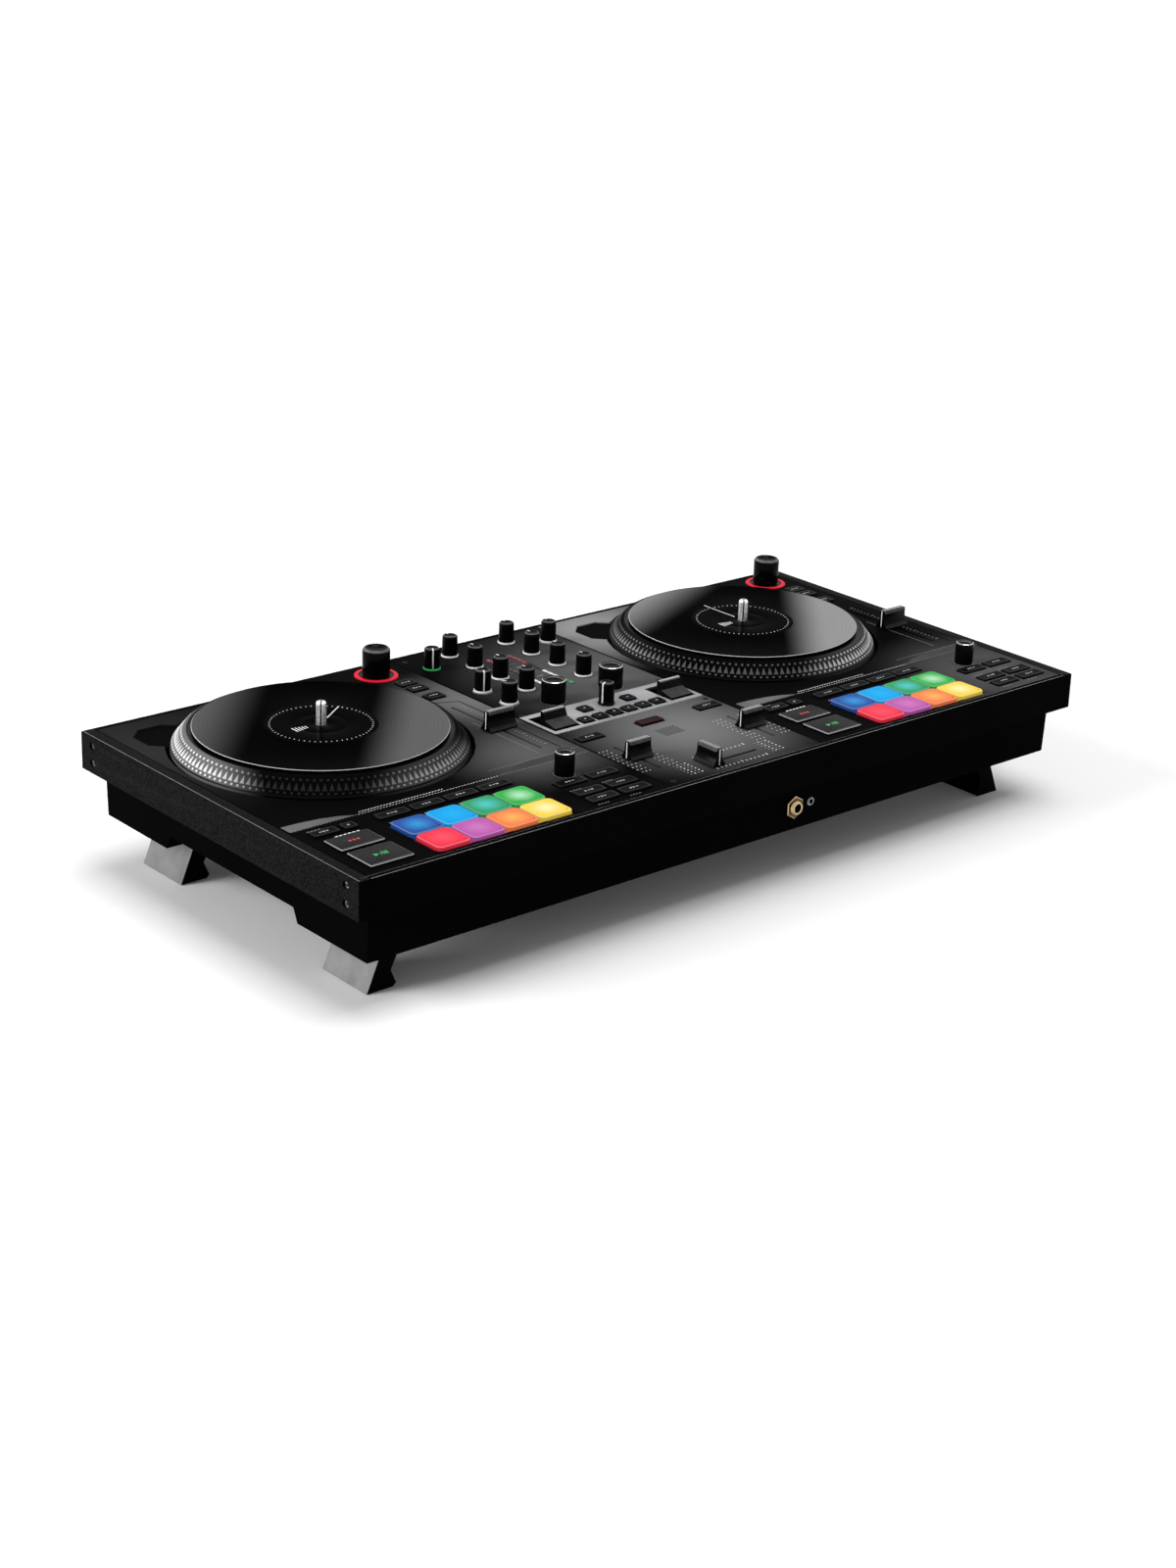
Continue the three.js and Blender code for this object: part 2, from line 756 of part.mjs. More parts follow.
// Upper frame: front and back walls, side walls under the plates and a floor rim.
{
  const left = cheek_width + fit_gap;
  const right = overall_width - left;
  const outside = block(left, right, 0, overall_depth, -upper_body_height, 0);
  const rebate = block(
    0,
    overall_width,
    frame_lip,
    overall_depth - frame_lip,
    -plate_thickness - fit_gap,
    plate_thickness,
  );
  const inside = block(
    left + frame_side_wall,
    right - frame_side_wall,
    frame_lip + frame_ledge,
    overall_depth - frame_lip - frame_ledge,
    -upper_body_height + frame_floor,
    plate_thickness,
  );
  const opening = block(
    frame_opening_side_inset,
    overall_width - frame_opening_side_inset,
    frame_opening_end_inset,
    overall_depth - frame_opening_end_inset,
    -2 * upper_body_height,
    0,
  );
  piece(body_group, 'upper_frame', cut(outside, [rebate, inside, opening]), finish.body_metal);
}

// Cheeks, each with a chamfered top edge and four sunk screw holes.
side_names.forEach((side) => {
  const outline = [
    [0, -upper_body_height],
    [cheek_width, -upper_body_height],
    [cheek_width, 0],
    [cheek_edge_chamfer, 0],
    [0, -cheek_edge_chamfer],
  ];
  const holes = [];
  for (const y of [cheek_screw_inset, overall_depth - cheek_screw_inset]) {
    for (const step of [0, 1]) {
      const z = -cheek_screw_first_depth - step * cheek_screw_pitch;
      const sink = new THREE.CylinderGeometry(
        cheek_screw_hole_radius,
        cheek_screw_head_radius,
        cheek_screw_sink,
        hidden_round_steps_count,
      );
      sink.rotateZ(-Math.PI / 2);
      sink.translate(cheek_screw_sink / 2 - fit_gap, y, z);
      holes.push(solid(sink));
    }
  }
  let cheek = cut(drawnAlongY(outline, 0, overall_depth), holes);
  if (side === 'right') {
    cheek = cheek.mirror([1, 0, 0]).translate([overall_width, 0, 0]);
  }
  piece(body_group, `cheek_${side}`, cheek, finish.cheek_metal);
});

// Deck plates.
side_names.forEach((side, index) => {
  const start = deck_starts[index];
  const [x0, x1] = plate_edges[side];
  const sheet = block(x0 - start, x1 - start, plate_front, plate_back, -plate_thickness, 0);
  const pitch_place = { x: pitch_fader_x, y: pitch_fader_y, along: 'y' };
  const recess = shapeFrom([
    [recess_x, recess_y + recess_corner],
    [recess_x + recess_corner, recess_y],
    [recess_x + recess_size - recess_corner, recess_y],
    [recess_x + recess_size, recess_y + recess_corner],
    [recess_x + recess_size, recess_y + recess_size - recess_corner],
    [recess_x + recess_size - recess_corner, recess_y + recess_size],
    [recess_x + recess_corner, recess_y + recess_size],
    [recess_x, recess_y + recess_size - recess_corner],
  ]);
  const holes = [
    roundHole(platter_x, platter_y, well_radius, wide_round_steps_count),
    roundHole(browse_knob_x, browse_knob_y, light_ring_radius + fit_gap, ring_round_steps_count),
    roundHole(loop_knob_x, loop_knob_y, shaft_hole_radius),
    slotHole(pitch_place, pitch_travel),
    roundedHoleInPlate(pad_area, pad_corner_radius, pad_corner_steps_count),
    roundedHoleInPlate(cue_area, key_corner_radius, key_corner_steps_count),
    roundedHoleInPlate(play_area, key_corner_radius, key_corner_steps_count),
    ...deck_key_areas.map((area) => holeInPlate(area)),
    raised(recess, -recess_depth, plate_thickness),
  ];
  const plate = cut(sheet, holes).translate([start, 0, 0]);
  piece(body_group, `deck_plate_${side}`, plate, finish.plate_metal);
});

// Mixer plate.
const paddle_windows = [0, 1].map((index) => {
  const x = paddle_window_x;
  const mirrored = 2 * crossfader_x - paddle_window_x - paddle_window_width;
  return {
    x: index === 0 ? x : mirrored,
    y: paddle_window_y,
    width: paddle_window_width,
    depth: paddle_window_depth,
  };
});
const meter_areas = [-meter_strip_offset, meter_strip_offset].map((shift) => ({
  x: crossfader_x + shift - meter_strip_width / 2,
  y: meter_strip_y,
  width: meter_strip_width,
  depth: meter_strip_length,
}));
{
  const [x0, x1] = plate_edges.mixer;
  const sheet = block(x0, x1, plate_front, plate_back, -plate_thickness, 0);
  const holes = [
    ...mixer_knob_places.map((place) => roundHole(place.x, place.y, shaft_hole_radius)),
    ...fader_places.map((place) => slotHole(place, fader_travel)),
    ...mixer_key_areas.map((area) => holeInPlate(area)),
    ...paddle_windows.map((area) => holeInPlate(area)),
    ...meter_areas.map((area) => holeInPlate(area)),
  ];
  piece(body_group, 'mixer_plate', cut(sheet, holes), finish.plate_metal);
}

// Where each board lies.
const board_bottom = -board_top_depth - board_thickness;
const board_areas = {
  left: { x: board_side_inset, end: deck_seam_x - board_seam_gap },
  mixer: { x: deck_seam_x + board_seam_gap, end: mixer_right_seam_x - board_seam_gap },
  right: { x: mixer_right_seam_x + board_seam_gap, end: overall_width - board_side_inset },
};
const board_front = board_front_inset;
const board_back = overall_depth - board_front_inset;

// Lower tray: walls, a floor with two deeper beds, bearing posts, board posts and hinge lugs.
const bed_front_end = tray_front_setback_bottom + bed_length;
const bed_back_start = overall_depth - tray_back_setback_bottom - bed_length;
const foot_hinge_z = -plate_height + foot_hinge_rise;
const foot_starts = { front: foot_front_start, back: foot_back_start };
{
  const top = -upper_body_height - fit_gap;
  const outline = [
    [tray_front_setback_top, top],
    [tray_front_setback_bottom, -bed_depth],
    [bed_front_end, -bed_depth],
    [bed_front_end + bed_slope_length, -tray_depth],
    [bed_back_start - bed_slope_length, -tray_depth],
    [bed_back_start, -bed_depth],
    [overall_depth - tray_back_setback_bottom, -bed_depth],
    [overall_depth - tray_back_setback_top, top],
  ];
  const wall = tray_wall;
  const hollow = [
    [tray_front_setback_top + wall, top + wall],
    [tray_front_setback_bottom + wall, -bed_depth + wall],
    [bed_front_end - wall, -bed_depth + wall],
    [bed_front_end + bed_slope_length - wall, -tray_depth + wall],
    [bed_back_start - bed_slope_length + wall, -tray_depth + wall],
    [bed_back_start + wall, -bed_depth + wall],
    [overall_depth - tray_back_setback_bottom - wall, -bed_depth + wall],
    [overall_depth - tray_back_setback_top - wall, top + wall],
  ];
  const right = overall_width - tray_side_inset;
  const shell = drawnAlongX(outline, tray_side_inset, right);
  const cavity = drawnAlongX(hollow, tray_side_inset + wall, right - wall);
  const added = [];
  const holes = [];
  const floor_grip = wall / 2;
  deck_starts.forEach((start) => {
    const x = platter_x + start;
    const post_top = -platter_hub_depth - fit_gap;
    const post_bottom = -tray_depth + floor_grip;
    added.push(post(x, platter_y, bearing_post_radius, post_bottom, post_top, round_steps_count));
    const bore_bottom = -spindle_depth - fit_gap;
    holes.push(post(x, platter_y, spindle_radius + fit_gap, bore_bottom, 0, round_steps_count));
  });
  for (const area of Object.values(board_areas)) {
    for (const x of [area.x + board_post_inset, area.end - board_post_inset]) {
      for (const y of [board_front + board_post_front_inset, board_back - board_post_inset]) {
        const half = board_post_size / 2;
        added.push(block(
          x - half,
          x + half,
          y - half,
          y + half,
          -bed_depth + floor_grip,
          board_bottom - fit_gap,
        ));
      }
    }
  }
  for (const x of [foot_hinge_x, overall_width - foot_hinge_x]) {
    for (const start of Object.values(foot_starts)) {
      const lug_starts = [start - fit_gap - foot_lug_thickness, start + foot_length + fit_gap];
      for (const y of lug_starts) {
        const end = y + foot_lug_thickness;
        added.push(barAlongY(x, y, end, foot_hinge_z, foot_lug_radius));
        added.push(block(
          x - foot_lug_radius,
          x + foot_lug_radius,
          y,
          end,
          foot_hinge_z,
          -bed_depth + floor_grip,
        ));
        const hole_radius = foot_pin_radius + fit_gap;
        holes.push(barAlongY(x, y - fit_gap, end + fit_gap, foot_hinge_z, hole_radius));
      }
    }
  }
  const front_hole_end = tray_front_setback_bottom + 2 * wall;
  holes.push(barAlongY(jack_x, 0, front_hole_end, -jack_depth, jack_wall_hole_radius));
  holes.push(barAlongY(small_jack_x, 0, front_hole_end, -jack_depth, small_jack_wall_hole_radius));
  const back = overall_depth;
  const back_hole_start = back - tray_back_setback_bottom - 2 * wall;
  const z = -rear_socket_z_depth;
  const usb_x = crossfader_x + usb_offset;
  holes.push(block(
    usb_x - usb_width / 2 - fit_gap,
    usb_x + usb_width / 2 + fit_gap,
    back_hole_start,
    back,
    z - usb_height / 2 - fit_gap,
    z + usb_height / 2 + fit_gap,
  ));
  const power_x = crossfader_x + power_offset;
  holes.push(barAlongY(power_x, back_hole_start, back, z, power_radius + fit_gap));
  for (let index = 0; index < line_out_count; index += 1) {
    const x = crossfader_x + line_out_offset + index * line_out_pitch;
    holes.push(barAlongY(x, back_hole_start, back, z, line_out_radius + fit_gap));
  }
  const tray = cut(joined([shell.subtract(cavity), ...added]), holes);
  piece(body_group, 'bottom_tray', tray, finish.body_metal);
}

// Folding feet: a leaning wedge under a hinge knuckle, on a pin of its own.
for (const [end_name, start] of Object.entries(foot_starts)) {
  const end = start + foot_length;
  const floor = -plate_height;
  const outline = [
    [foot_outer_x, floor],
    [foot_toe_inner_x, floor],
    [foot_toe_tip_x, floor + foot_toe_tip_rise],
    [foot_waist_x, floor + foot_waist_rise],
    [foot_flare_x, floor + foot_flare_rise],
    [foot_hinge_x + foot_knuckle_radius, foot_hinge_z],
    [foot_hinge_x - foot_knuckle_radius, foot_hinge_z],
  ];
  const knuckle = barAlongY(
    foot_hinge_x,
    start,
    end,
    foot_hinge_z,
    foot_knuckle_radius,
    round_steps_count,
  );
  const pin = barAlongY(
    foot_hinge_x,
    start - foot_pin_overhang,
    end + foot_pin_overhang,
    foot_hinge_z,
    foot_pin_radius,
  );
  const foot = joined([drawnAlongY(outline, start, end), knuckle, pin]);
  piece(body_group, `foot_${end_name}_left`, foot, finish.foot_plastic);
  const mirrored = foot.mirror([1, 0, 0]).translate([overall_width, 0, 0]);
  piece(body_group, `foot_${end_name}_right`, mirrored, finish.foot_plastic);
}

// A control's body on its board, with a hole for the shaft.
function socketBody(x, y) {
  const half = socket_body_size / 2;
  return block(
    x - half,
    x + half,
    y - half,
    y + half,
    -board_top_depth - board_thickness / 2,
    -socket_body_top_depth,
  );
}

function socketHole(x, y) {
  return post(x, y, socket_hole_radius, -shaft_depth - fit_gap, 0, hidden_round_steps_count);
}

// A fader's housing on its board, with a channel for the stem.
function faderHousing(place, travel) {
  const run = slotArea(place, travel, fader_housing_width);
  const extra = fader_housing_end;
  const along_x = place.along === 'x';
  return block(
    run.x - (along_x ? extra : 0),
    run.x + run.width + (along_x ? extra : 0),
    run.y - (along_x ? 0 : extra),
    run.y + run.depth + (along_x ? 0 : extra),
    -board_top_depth - board_thickness / 2,
    -socket_body_top_depth,
  );
}

function faderChannel(place, travel) {
  const area = slotArea(place, travel, fader_slot_width);
  return flatBlock(area, -fader_stem_depth - fit_gap, 0);
}

// Deck boards.
side_names.forEach((side, index) => {
  const start = deck_starts[index];
  const { x, end } = board_areas[side];
  const sheet = block(x - start, end - start, board_front, board_back, board_bottom, -board_top_depth);
  const pitch_place = { x: pitch_fader_x, y: pitch_fader_y, along: 'y' };
  const board = joined([
    sheet,
    socketBody(browse_knob_x, browse_knob_y),
    socketBody(loop_knob_x, loop_knob_y),
    faderHousing(pitch_place, pitch_travel),
  ]);
  const holes = [
    post(platter_x, platter_y, board_hub_hole_radius, board_bottom * 2, 0, round_steps_count),
    socketHole(browse_knob_x, browse_knob_y),
    socketHole(loop_knob_x, loop_knob_y),
    faderChannel(pitch_place, pitch_travel),
  ];
  piece(body_group, `deck_board_${side}`, cut(board, holes).translate([start, 0, 0]), finish.board);
});

// Mixer board with its control bodies and the paddles' ears.
const paddle_starts = paddle_windows.map((area) => area.x + (area.width - paddle_width) / 2);
{
  const { x, end } = board_areas.mixer;
  const parts = [block(x, end, board_front, board_back, board_bottom, -board_top_depth)];
  const holes = [];
  for (const place of mixer_knob_places) {
    parts.push(socketBody(place.x, place.y));
    holes.push(socketHole(place.x, place.y));
  }
  for (const place of fader_places) {
    parts.push(faderHousing(place, fader_travel));
    holes.push(faderChannel(place, fader_travel));
  }
  for (const start of paddle_starts) {
    const ear_starts = [
      start - fit_gap - paddle_ear_thickness,
      start + paddle_width + fit_gap,
    ];
    for (const ear_x of ear_starts) {
      const ear_end = ear_x + paddle_ear_thickness;
      parts.push(block(
        ear_x,
        ear_end,
        paddle_pivot_y - paddle_ear_reach,
        paddle_pivot_y + paddle_ear_reach,
        -board_top_depth - board_thickness / 2,
        -socket_body_top_depth,
      ));
      holes.push(barAlongX(
        ear_x - fit_gap,
        ear_end + fit_gap,
        paddle_pivot_y,
        -paddle_pivot_depth,
        paddle_pin_radius + fit_gap,
      ));
    }
  }
  piece(body_group, 'mixer_board', cut(joined(parts), holes), finish.board);
}

// Effect paddles: a sloped front, an upright tab and a pivot with two pins.
side_names.forEach((side, index) => {
  const start = paddle_starts[index];
  const end = start + paddle_width;
  const y = paddle_pivot_y;
  const z = -paddle_pivot_depth;
  const outline = [
    [y - paddle_front_reach, -paddle_front_bottom],
    [y - paddle_hub_radius, z],
    [y + paddle_hub_radius, z],
    [y + paddle_back_reach, paddle_back_top],
    [y + paddle_tab_back, paddle_tab_top],
    [y + paddle_tab_front, paddle_tab_top],
    [y - paddle_tab_front, paddle_slope_top],
    [y - paddle_front_reach, paddle_front_top],
  ];
  const paddle = joined([
    drawnAlongX(outline, start, end),
    barAlongX(start, end, y, z, paddle_hub_radius),
    barAlongX(start - paddle_pin_length, end + paddle_pin_length, y, z, paddle_pin_radius),
  ]);
  piece(body_group, `effect_paddle_${side}`, paddle, finish.black_plastic);
});

// A knob standing on the plate, with its shaft, turned about the Z axis.
function knobShape(radius, top_radius, height, chamfer, lift, skirt_radius) {
  const bottom = lift;
  const top = lift + height;
  const profile = [
    [0, -shaft_depth],
    [shaft_radius, -shaft_depth],
    [shaft_radius, bottom],
    [skirt_radius, bottom],
  ];
  if (skirt_radius > radius) {
    profile.push([skirt_radius, bottom + knob_skirt_height]);
    profile.push([radius, bottom + knob_skirt_height + fit_gap]);
  }
  profile.push([top_radius, top - chamfer]);
  if (chamfer > 0) {
    profile.push([top_radius - chamfer, top]);
  }
  profile.push([0, top]);
  return profile;
}

const small_knob_profile = knobShape(
  small_knob_radius,
  small_knob_top_radius,
  small_knob_height,
  0,
  knob_lift,
  knob_skirt_radius,
);
const small_knob = turned(small_knob_profile, small_round_steps_count);
for (const place of small_knob_places) {
  const item = piece(body_group, place.name, small_knob, finish.black_plastic);
  item.position.set(place.x, place.y, 0);
}
const filter_knob = turned(
  knobShape(
    filter_knob_radius,
    filter_knob_radius,
    filter_knob_height,
    filter_knob_chamfer,
    knob_lift,
    filter_knob_radius,
  ),
  round_steps_count,
);
for (const place of filter_knob_places) {
  const item = piece(body_group, place.name, filter_knob, finish.black_plastic);
  item.position.set(place.x, place.y, 0);
}
const effect_knob = turned(
  knobShape(
    effect_knob_radius,
    effect_knob_radius,
    small_knob_height,
    knob_edge_chamfer,
    knob_lift,
    effect_knob_radius,
  ),
  round_steps_count,
);
const effect_knob_item = piece(body_group, 'effect_knob', effect_knob, finish.black_plastic);
effect_knob_item.position.set(effect_knob_x, effect_knob_y, 0);

// A fader cap with a waist, on a flat stem that reaches down through the slot.
// It is drawn for travel along Y and turned a quarter for travel along X.
function faderCap(length, height) {
  const base = fader_cap_lift;
  const top = base + height;
  const flare = base + height * fader_cap_flare_share;
  const waist = base + height * fader_cap_waist_share;
  const outline = [
    [-fader_cap_base_width / 2, base],
    [fader_cap_base_width / 2, base],
    [fader_cap_base_width / 2, flare],
    [fader_cap_waist_width / 2, waist],
    [fader_cap_top_width / 2, top],
    [-fader_cap_top_width / 2, top],
    [-fader_cap_waist_width / 2, waist],
    [-fader_cap_base_width / 2, flare],
  ];
  const cap = drawnAlongX(outline, -length / 2, length / 2);
  const stem = block(
    -fader_stem_thickness / 2,
    fader_stem_thickness / 2,
    -fader_stem_width / 2,
    fader_stem_width / 2,
    -fader_stem_depth,
    waist,
  );
  return cap.add(stem);
}

const mixer_fader_cap = faderCap(fader_cap_length, fader_cap_height);
for (const place of fader_places) {
  const item = piece(body_group, place.name, mixer_fader_cap, finish.black_plastic);
  if (place.along === 'x') {
    item.rotation.z = Math.PI / 2;
    item.position.set(place.x + place.rest, place.y, 0);
  } else {
    item.position.set(place.x, place.y + place.rest, 0);
  }
}

// Keys joined by one web under the plate.
function keyMat(areas, webs) {
  const keys = areas.map((area) => flatBlock(area, -key_web_bottom, key_top));
  const sheets = webs.map((area) => flatBlock(area, -key_web_bottom, -key_web_top));
  return joined([...sheets, ...keys]);
}

{
  const wide_end = wide_key_x + (wide_key_count - 1) * wide_key_pitch + wide_key_width;
  const row_end = row_key_x + (row_key_count - 1) * row_key_pitch + row_key_width;
  const webs = [
    grown({ x: wide_key_x, y: wide_key_y, width: wide_end - wide_key_x, depth: wide_key_depth },
      web_margin),
    grown({ x: row_key_x, y: row_key_y, width: row_end - row_key_x, depth: row_key_depth },
      web_margin),
    { x: key_link_x, y: wide_key_y, width: key_link_width, depth: row_key_y - wide_key_y },
    ...square_areas.map((area) => grown(
      { x: area.x, y: row_key_y, width: area.width, depth: area.y + area.depth - row_key_y },
      web_margin,
    )),
  ];
  piece(body_group, 'mixer_keys', keyMat(mixer_key_areas, webs), finish.key_rubber);
}

// Level meter: two light strips on one sheet under the plate.
{
  const [first, last] = meter_areas;
  const sheet = block(
    first.x - web_margin,
    last.x + last.width + web_margin,
    first.y - web_margin,
    first.y + first.depth + web_margin,
    -meter_web_bottom,
    -meter_web_top,
  );
  const strips = meter_areas.map((area) => flatBlock(area, -meter_web_bottom, meter_top));
  const legs = meter_areas.map((area) => flatBlock(
    { x: area.x, y: area.y, width: area.width, depth: area.width },
    -board_top_depth + fit_gap,
    -meter_web_top,
  ));
  piece(body_group, 'level_meter', joined([sheet, ...strips, ...legs]), finish.meter_light);
}

// Headphone sockets: two bodies on one bracket, a threaded collar with a nut, and a small ring.
{
  const wall_outside = tray_front_setback_bottom
    - (tray_front_setback_bottom - tray_front_setback_top)
    * (bed_depth - jack_depth) / (bed_depth - upper_body_height);
  const inside = wall_outside + tray_wall + 2 * fit_gap;
  const z = -jack_depth;
  const half = jack_body_size / 2;
  const small_half = small_jack_body_size / 2;
  const nut_start = wall_outside - jack_nut_gap - jack_nut_thickness;
  const collar_start = wall_outside - jack_collar_length;
  const nut = new THREE.CylinderGeometry(
    jack_nut_radius,
    jack_nut_radius,
    jack_nut_thickness,
    jack_nut_sides_count,
  );
  nut.translate(jack_x, nut_start + jack_nut_thickness / 2, z);
  const grip = fit_gap;
  const sockets = joined([
    block(jack_x - half, jack_x + half, inside, inside + jack_body_length, z - half, z + half),
    block(
      small_jack_x - small_half,
      small_jack_x + small_half,
      inside,
      inside + jack_body_length,
      z - small_half,
      z + small_half,
    ),
    block(
      jack_x,
      small_jack_x,
      inside + jack_body_length / 2,
      inside + jack_body_length,
      z - small_half,
      z + small_half,
    ),
    barAlongY(jack_x, collar_start, inside + grip, z, jack_collar_radius, round_steps_count),
    solid(nut),
    barAlongY(
      small_jack_x,
      wall_outside - fit_gap,
      inside + grip,
      z,
      small_jack_ring_radius,
      round_steps_count,
    ),
  ]);
  const bores = [
    barAlongY(
      jack_x,
      0,
      collar_start + jack_bore_length,
      z,
      jack_hole_radius,
      round_steps_count,
    ),
    barAlongY(
      small_jack_x,
      0,
      collar_start + jack_bore_length,
      z,
      small_jack_hole_radius,
    ),
  ];
  piece(body_group, 'headphone_sockets', cut(sockets, bores), finish.brass);
}

// Rear sockets: a bracket with a data socket, a power inlet and two line outlets.
{
  const z = -rear_socket_z_depth;
  const wall_outside = overall_depth - tray_back_setback_bottom;
  const board_end = wall_outside - tray_wall - 2 * fit_gap;
  const board_start = board_end - rear_board_thickness;
  const socket_end = wall_outside + rear_socket_overhang;
  const socket_start = board_end - fit_gap;
  const parts = [
    block(
      crossfader_x - rear_board_width / 2,
      crossfader_x + rear_board_width / 2,
      board_start,
      board_end,
      z - rear_board_height / 2,
      z + rear_board_height / 2,
    ),
  ];
  const holes = [];
  const usb_x = crossfader_x + usb_offset;
  const usb_half = usb_width / 2;
  const usb_half_height = usb_height / 2;
  parts.push(block(
    usb_x - usb_half,
    usb_x + usb_half,
    socket_start,
    socket_end,
    z - usb_half_height,
    z + usb_half_height,
  ));
  holes.push(block(
    usb_x - usb_half + usb_wall,
    usb_x + usb_half - usb_wall,
    board_end,
    overall_depth,
    z - usb_half_height + usb_wall,
    z + usb_half_height - usb_wall,
  ));
  const round_sockets = [[crossfader_x + power_offset, power_radius, power_hole_radius]];
  for (let index = 0; index < line_out_count; index += 1) {
    const x = crossfader_x + line_out_offset + index * line_out_pitch;
    round_sockets.push([x, line_out_radius, line_out_hole_radius]);
  }
  for (const [x, radius, hole_radius] of round_sockets) {
    parts.push(barAlongY(x, socket_start, socket_end, z, radius));
    holes.push(barAlongY(x, board_end, overall_depth, z, hole_radius));
  }
  piece(body_group, 'rear_sockets', cut(joined(parts), holes), finish.black_plastic);
}

// The two decks' moving pieces, each deck a copy of the other.
side_names.forEach((side, index) => {
  const deck_group = new THREE.Group();
  deck_group.position.set(deck_starts[index], 0, 0);
  body_group.add(deck_group);

  const bore = spindle_radius + fit_gap;
  const platter_profile = [
    [bore, -platter_hub_depth],
    [platter_hub_radius, -platter_hub_depth],
    [platter_hub_radius, -platter_foot_bottom],
    [platter_outer_radius, -platter_foot_bottom],
    [platter_outer_radius, platter_foot_top],
    [platter_rim_radius, platter_top],
    [bore, platter_top],
    [bore, -platter_hub_depth],
  ];
  const platter = piece(
    deck_group,
    `platter_${side}`,
    turned(platter_profile, wide_round_steps_count),
    finish.platter_metal,
  );
  platter.position.set(platter_x, platter_y, 0);

  const record_bottom = record_top - record_thickness;
  const record_profile = [
    [bore, record_bottom],
    [record_radius, record_bottom],
    [record_radius, record_top],
    [bore, record_top],
    [bore, record_bottom],
  ];
  const record = piece(
    deck_group,
    `record_${side}`,
    turned(record_profile, wide_round_steps_count),
    finish.vinyl,
  );
  record.position.set(platter_x, platter_y, 0);

  const spindle_top = record_top + spindle_rise;
  const spindle_profile = [
    [0, -spindle_depth],
    [spindle_radius, -spindle_depth],
    [spindle_radius, spindle_top - spindle_dome],
    [spindle_radius - spindle_dome / 2, spindle_top - spindle_dome / 4],
    [spindle_radius - spindle_dome, spindle_top],
    [0, spindle_top],
  ];
  const spindle = piece(
    deck_group,
    `spindle_${side}`,
    turned(spindle_profile, round_steps_count),
    finish.bright_metal,
  );
  spindle.position.set(platter_x, platter_y, 0);

  const browse_knob = piece(
    deck_group,
    `browse_knob_${side}`,
    turned(
      knobShape(
        browse_knob_radius,
        browse_knob_radius,
        browse_knob_height,
        browse_knob_chamfer,
        browse_knob_lift,
        browse_knob_radius,
      ),
      ring_round_steps_count,
    ),
    finish.black_plastic,
  );
  browse_knob.position.set(browse_knob_x, browse_knob_y, 0);

  const ring_profile = [
    [light_ring_bore_radius, -light_ring_depth],
    [light_ring_radius, -light_ring_depth],
    [light_ring_radius, light_ring_top],
    [light_ring_bore_radius, light_ring_top],
    [light_ring_bore_radius, -light_ring_depth],
  ];
  const light_ring = piece(
    deck_group,
    `light_ring_${side}`,
    turned(ring_profile, ring_round_steps_count),
    finish.red_light,
  );
  light_ring.position.set(browse_knob_x, browse_knob_y, 0);

  const loop_knob = piece(
    deck_group,
    `loop_knob_${side}`,
    turned(
      knobShape(
        loop_knob_radius,
        loop_knob_radius,
        loop_knob_height,
        knob_edge_chamfer,
        knob_lift,
        loop_knob_radius,
      ),
      round_steps_count,
    ),
    finish.black_plastic,
  );
  loop_knob.position.set(loop_knob_x, loop_knob_y, 0);

  const pitch_cap = faderCap(pitch_cap_length, pitch_cap_height);
  const pitch_fader = piece(deck_group, `pitch_fader_${side}`, pitch_cap, finish.black_plastic);
  pitch_fader.position.set(pitch_fader_x, pitch_fader_y + pitch_rest, 0);

  for (const [name, area] of [['cue', cue_area], ['play', play_area]]) {
    const flange = roundedBlock(
      grown(area, transport_flange),
      key_corner_radius,
      -key_web_bottom,
      -key_web_top,
    );
    const key = roundedBlock(area, key_corner_radius, -key_web_bottom, key_top).add(flange);
    piece(deck_group, `${name}_button_${side}`, key, finish.key_rubber);
  }

  const pads = [];
  for (let row = 0; row < pad_rows_count; row += 1) {
    for (let column = 0; column < pad_columns_count; column += 1) {
      const area = {
        x: pad_x + column * pad_pitch_x,
        y: pad_y + row * pad_pitch_y,
        width: pad_width,
        depth: pad_depth,
      };
      pads.push(roundedBlock(
        area,
        pad_corner_radius,
        -key_web_bottom,
        pad_top,
        pad_corner_steps_count,
      ));
    }
  }
  const pad_web = grown(pad_area, pad_web_margin);
  pads.push(roundedBlock(pad_web, pad_corner_radius, -key_web_bottom, -key_web_top));
  piece(deck_group, `pad_mat_${side}`, joined(pads), finish.pad_silicone);

  const mode_end = mode_key_x + (pad_columns_count - 1) * pad_pitch_x + mode_key_width;
  const side_end = key_spine_x + key_spine_width;
  const spine_top = list_key_back_y + list_key_depth + web_margin;
  const webs = [
    {
      x: shift_key_x - web_margin,
      y: mode_key_y - web_margin,
      width: key_bridge_end_x - shift_key_x + web_margin,
      depth: mode_key_depth + 2 * web_margin,
    },
    {
      x: key_bridge_x,
      y: side_key_front_y - web_margin,
      width: key_bridge_end_x - key_bridge_x,
      depth: mode_key_y - side_key_front_y + web_margin,
    },
    {
      x: key_bridge_x,
      y: side_key_front_y - web_margin,
      width: side_end - key_bridge_x,
      depth: side_key_back_y + side_key_depth - side_key_front_y + 2 * web_margin,
    },
    {
      x: key_spine_x,
      y: side_key_front_y - web_margin,
      width: key_spine_width,
      depth: spine_top - side_key_front_y + web_margin,
    },
    {
      x: list_key_x - web_margin,
      y: list_key_front_y - web_margin,
      width: side_end - list_key_x + web_margin,
      depth: spine_top - list_key_front_y + web_margin,
    },
  ];
  piece(deck_group, `deck_keys_${side}`, keyMat(deck_key_areas, webs), finish.key_rubber);
});

export default controller;
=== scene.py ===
import math

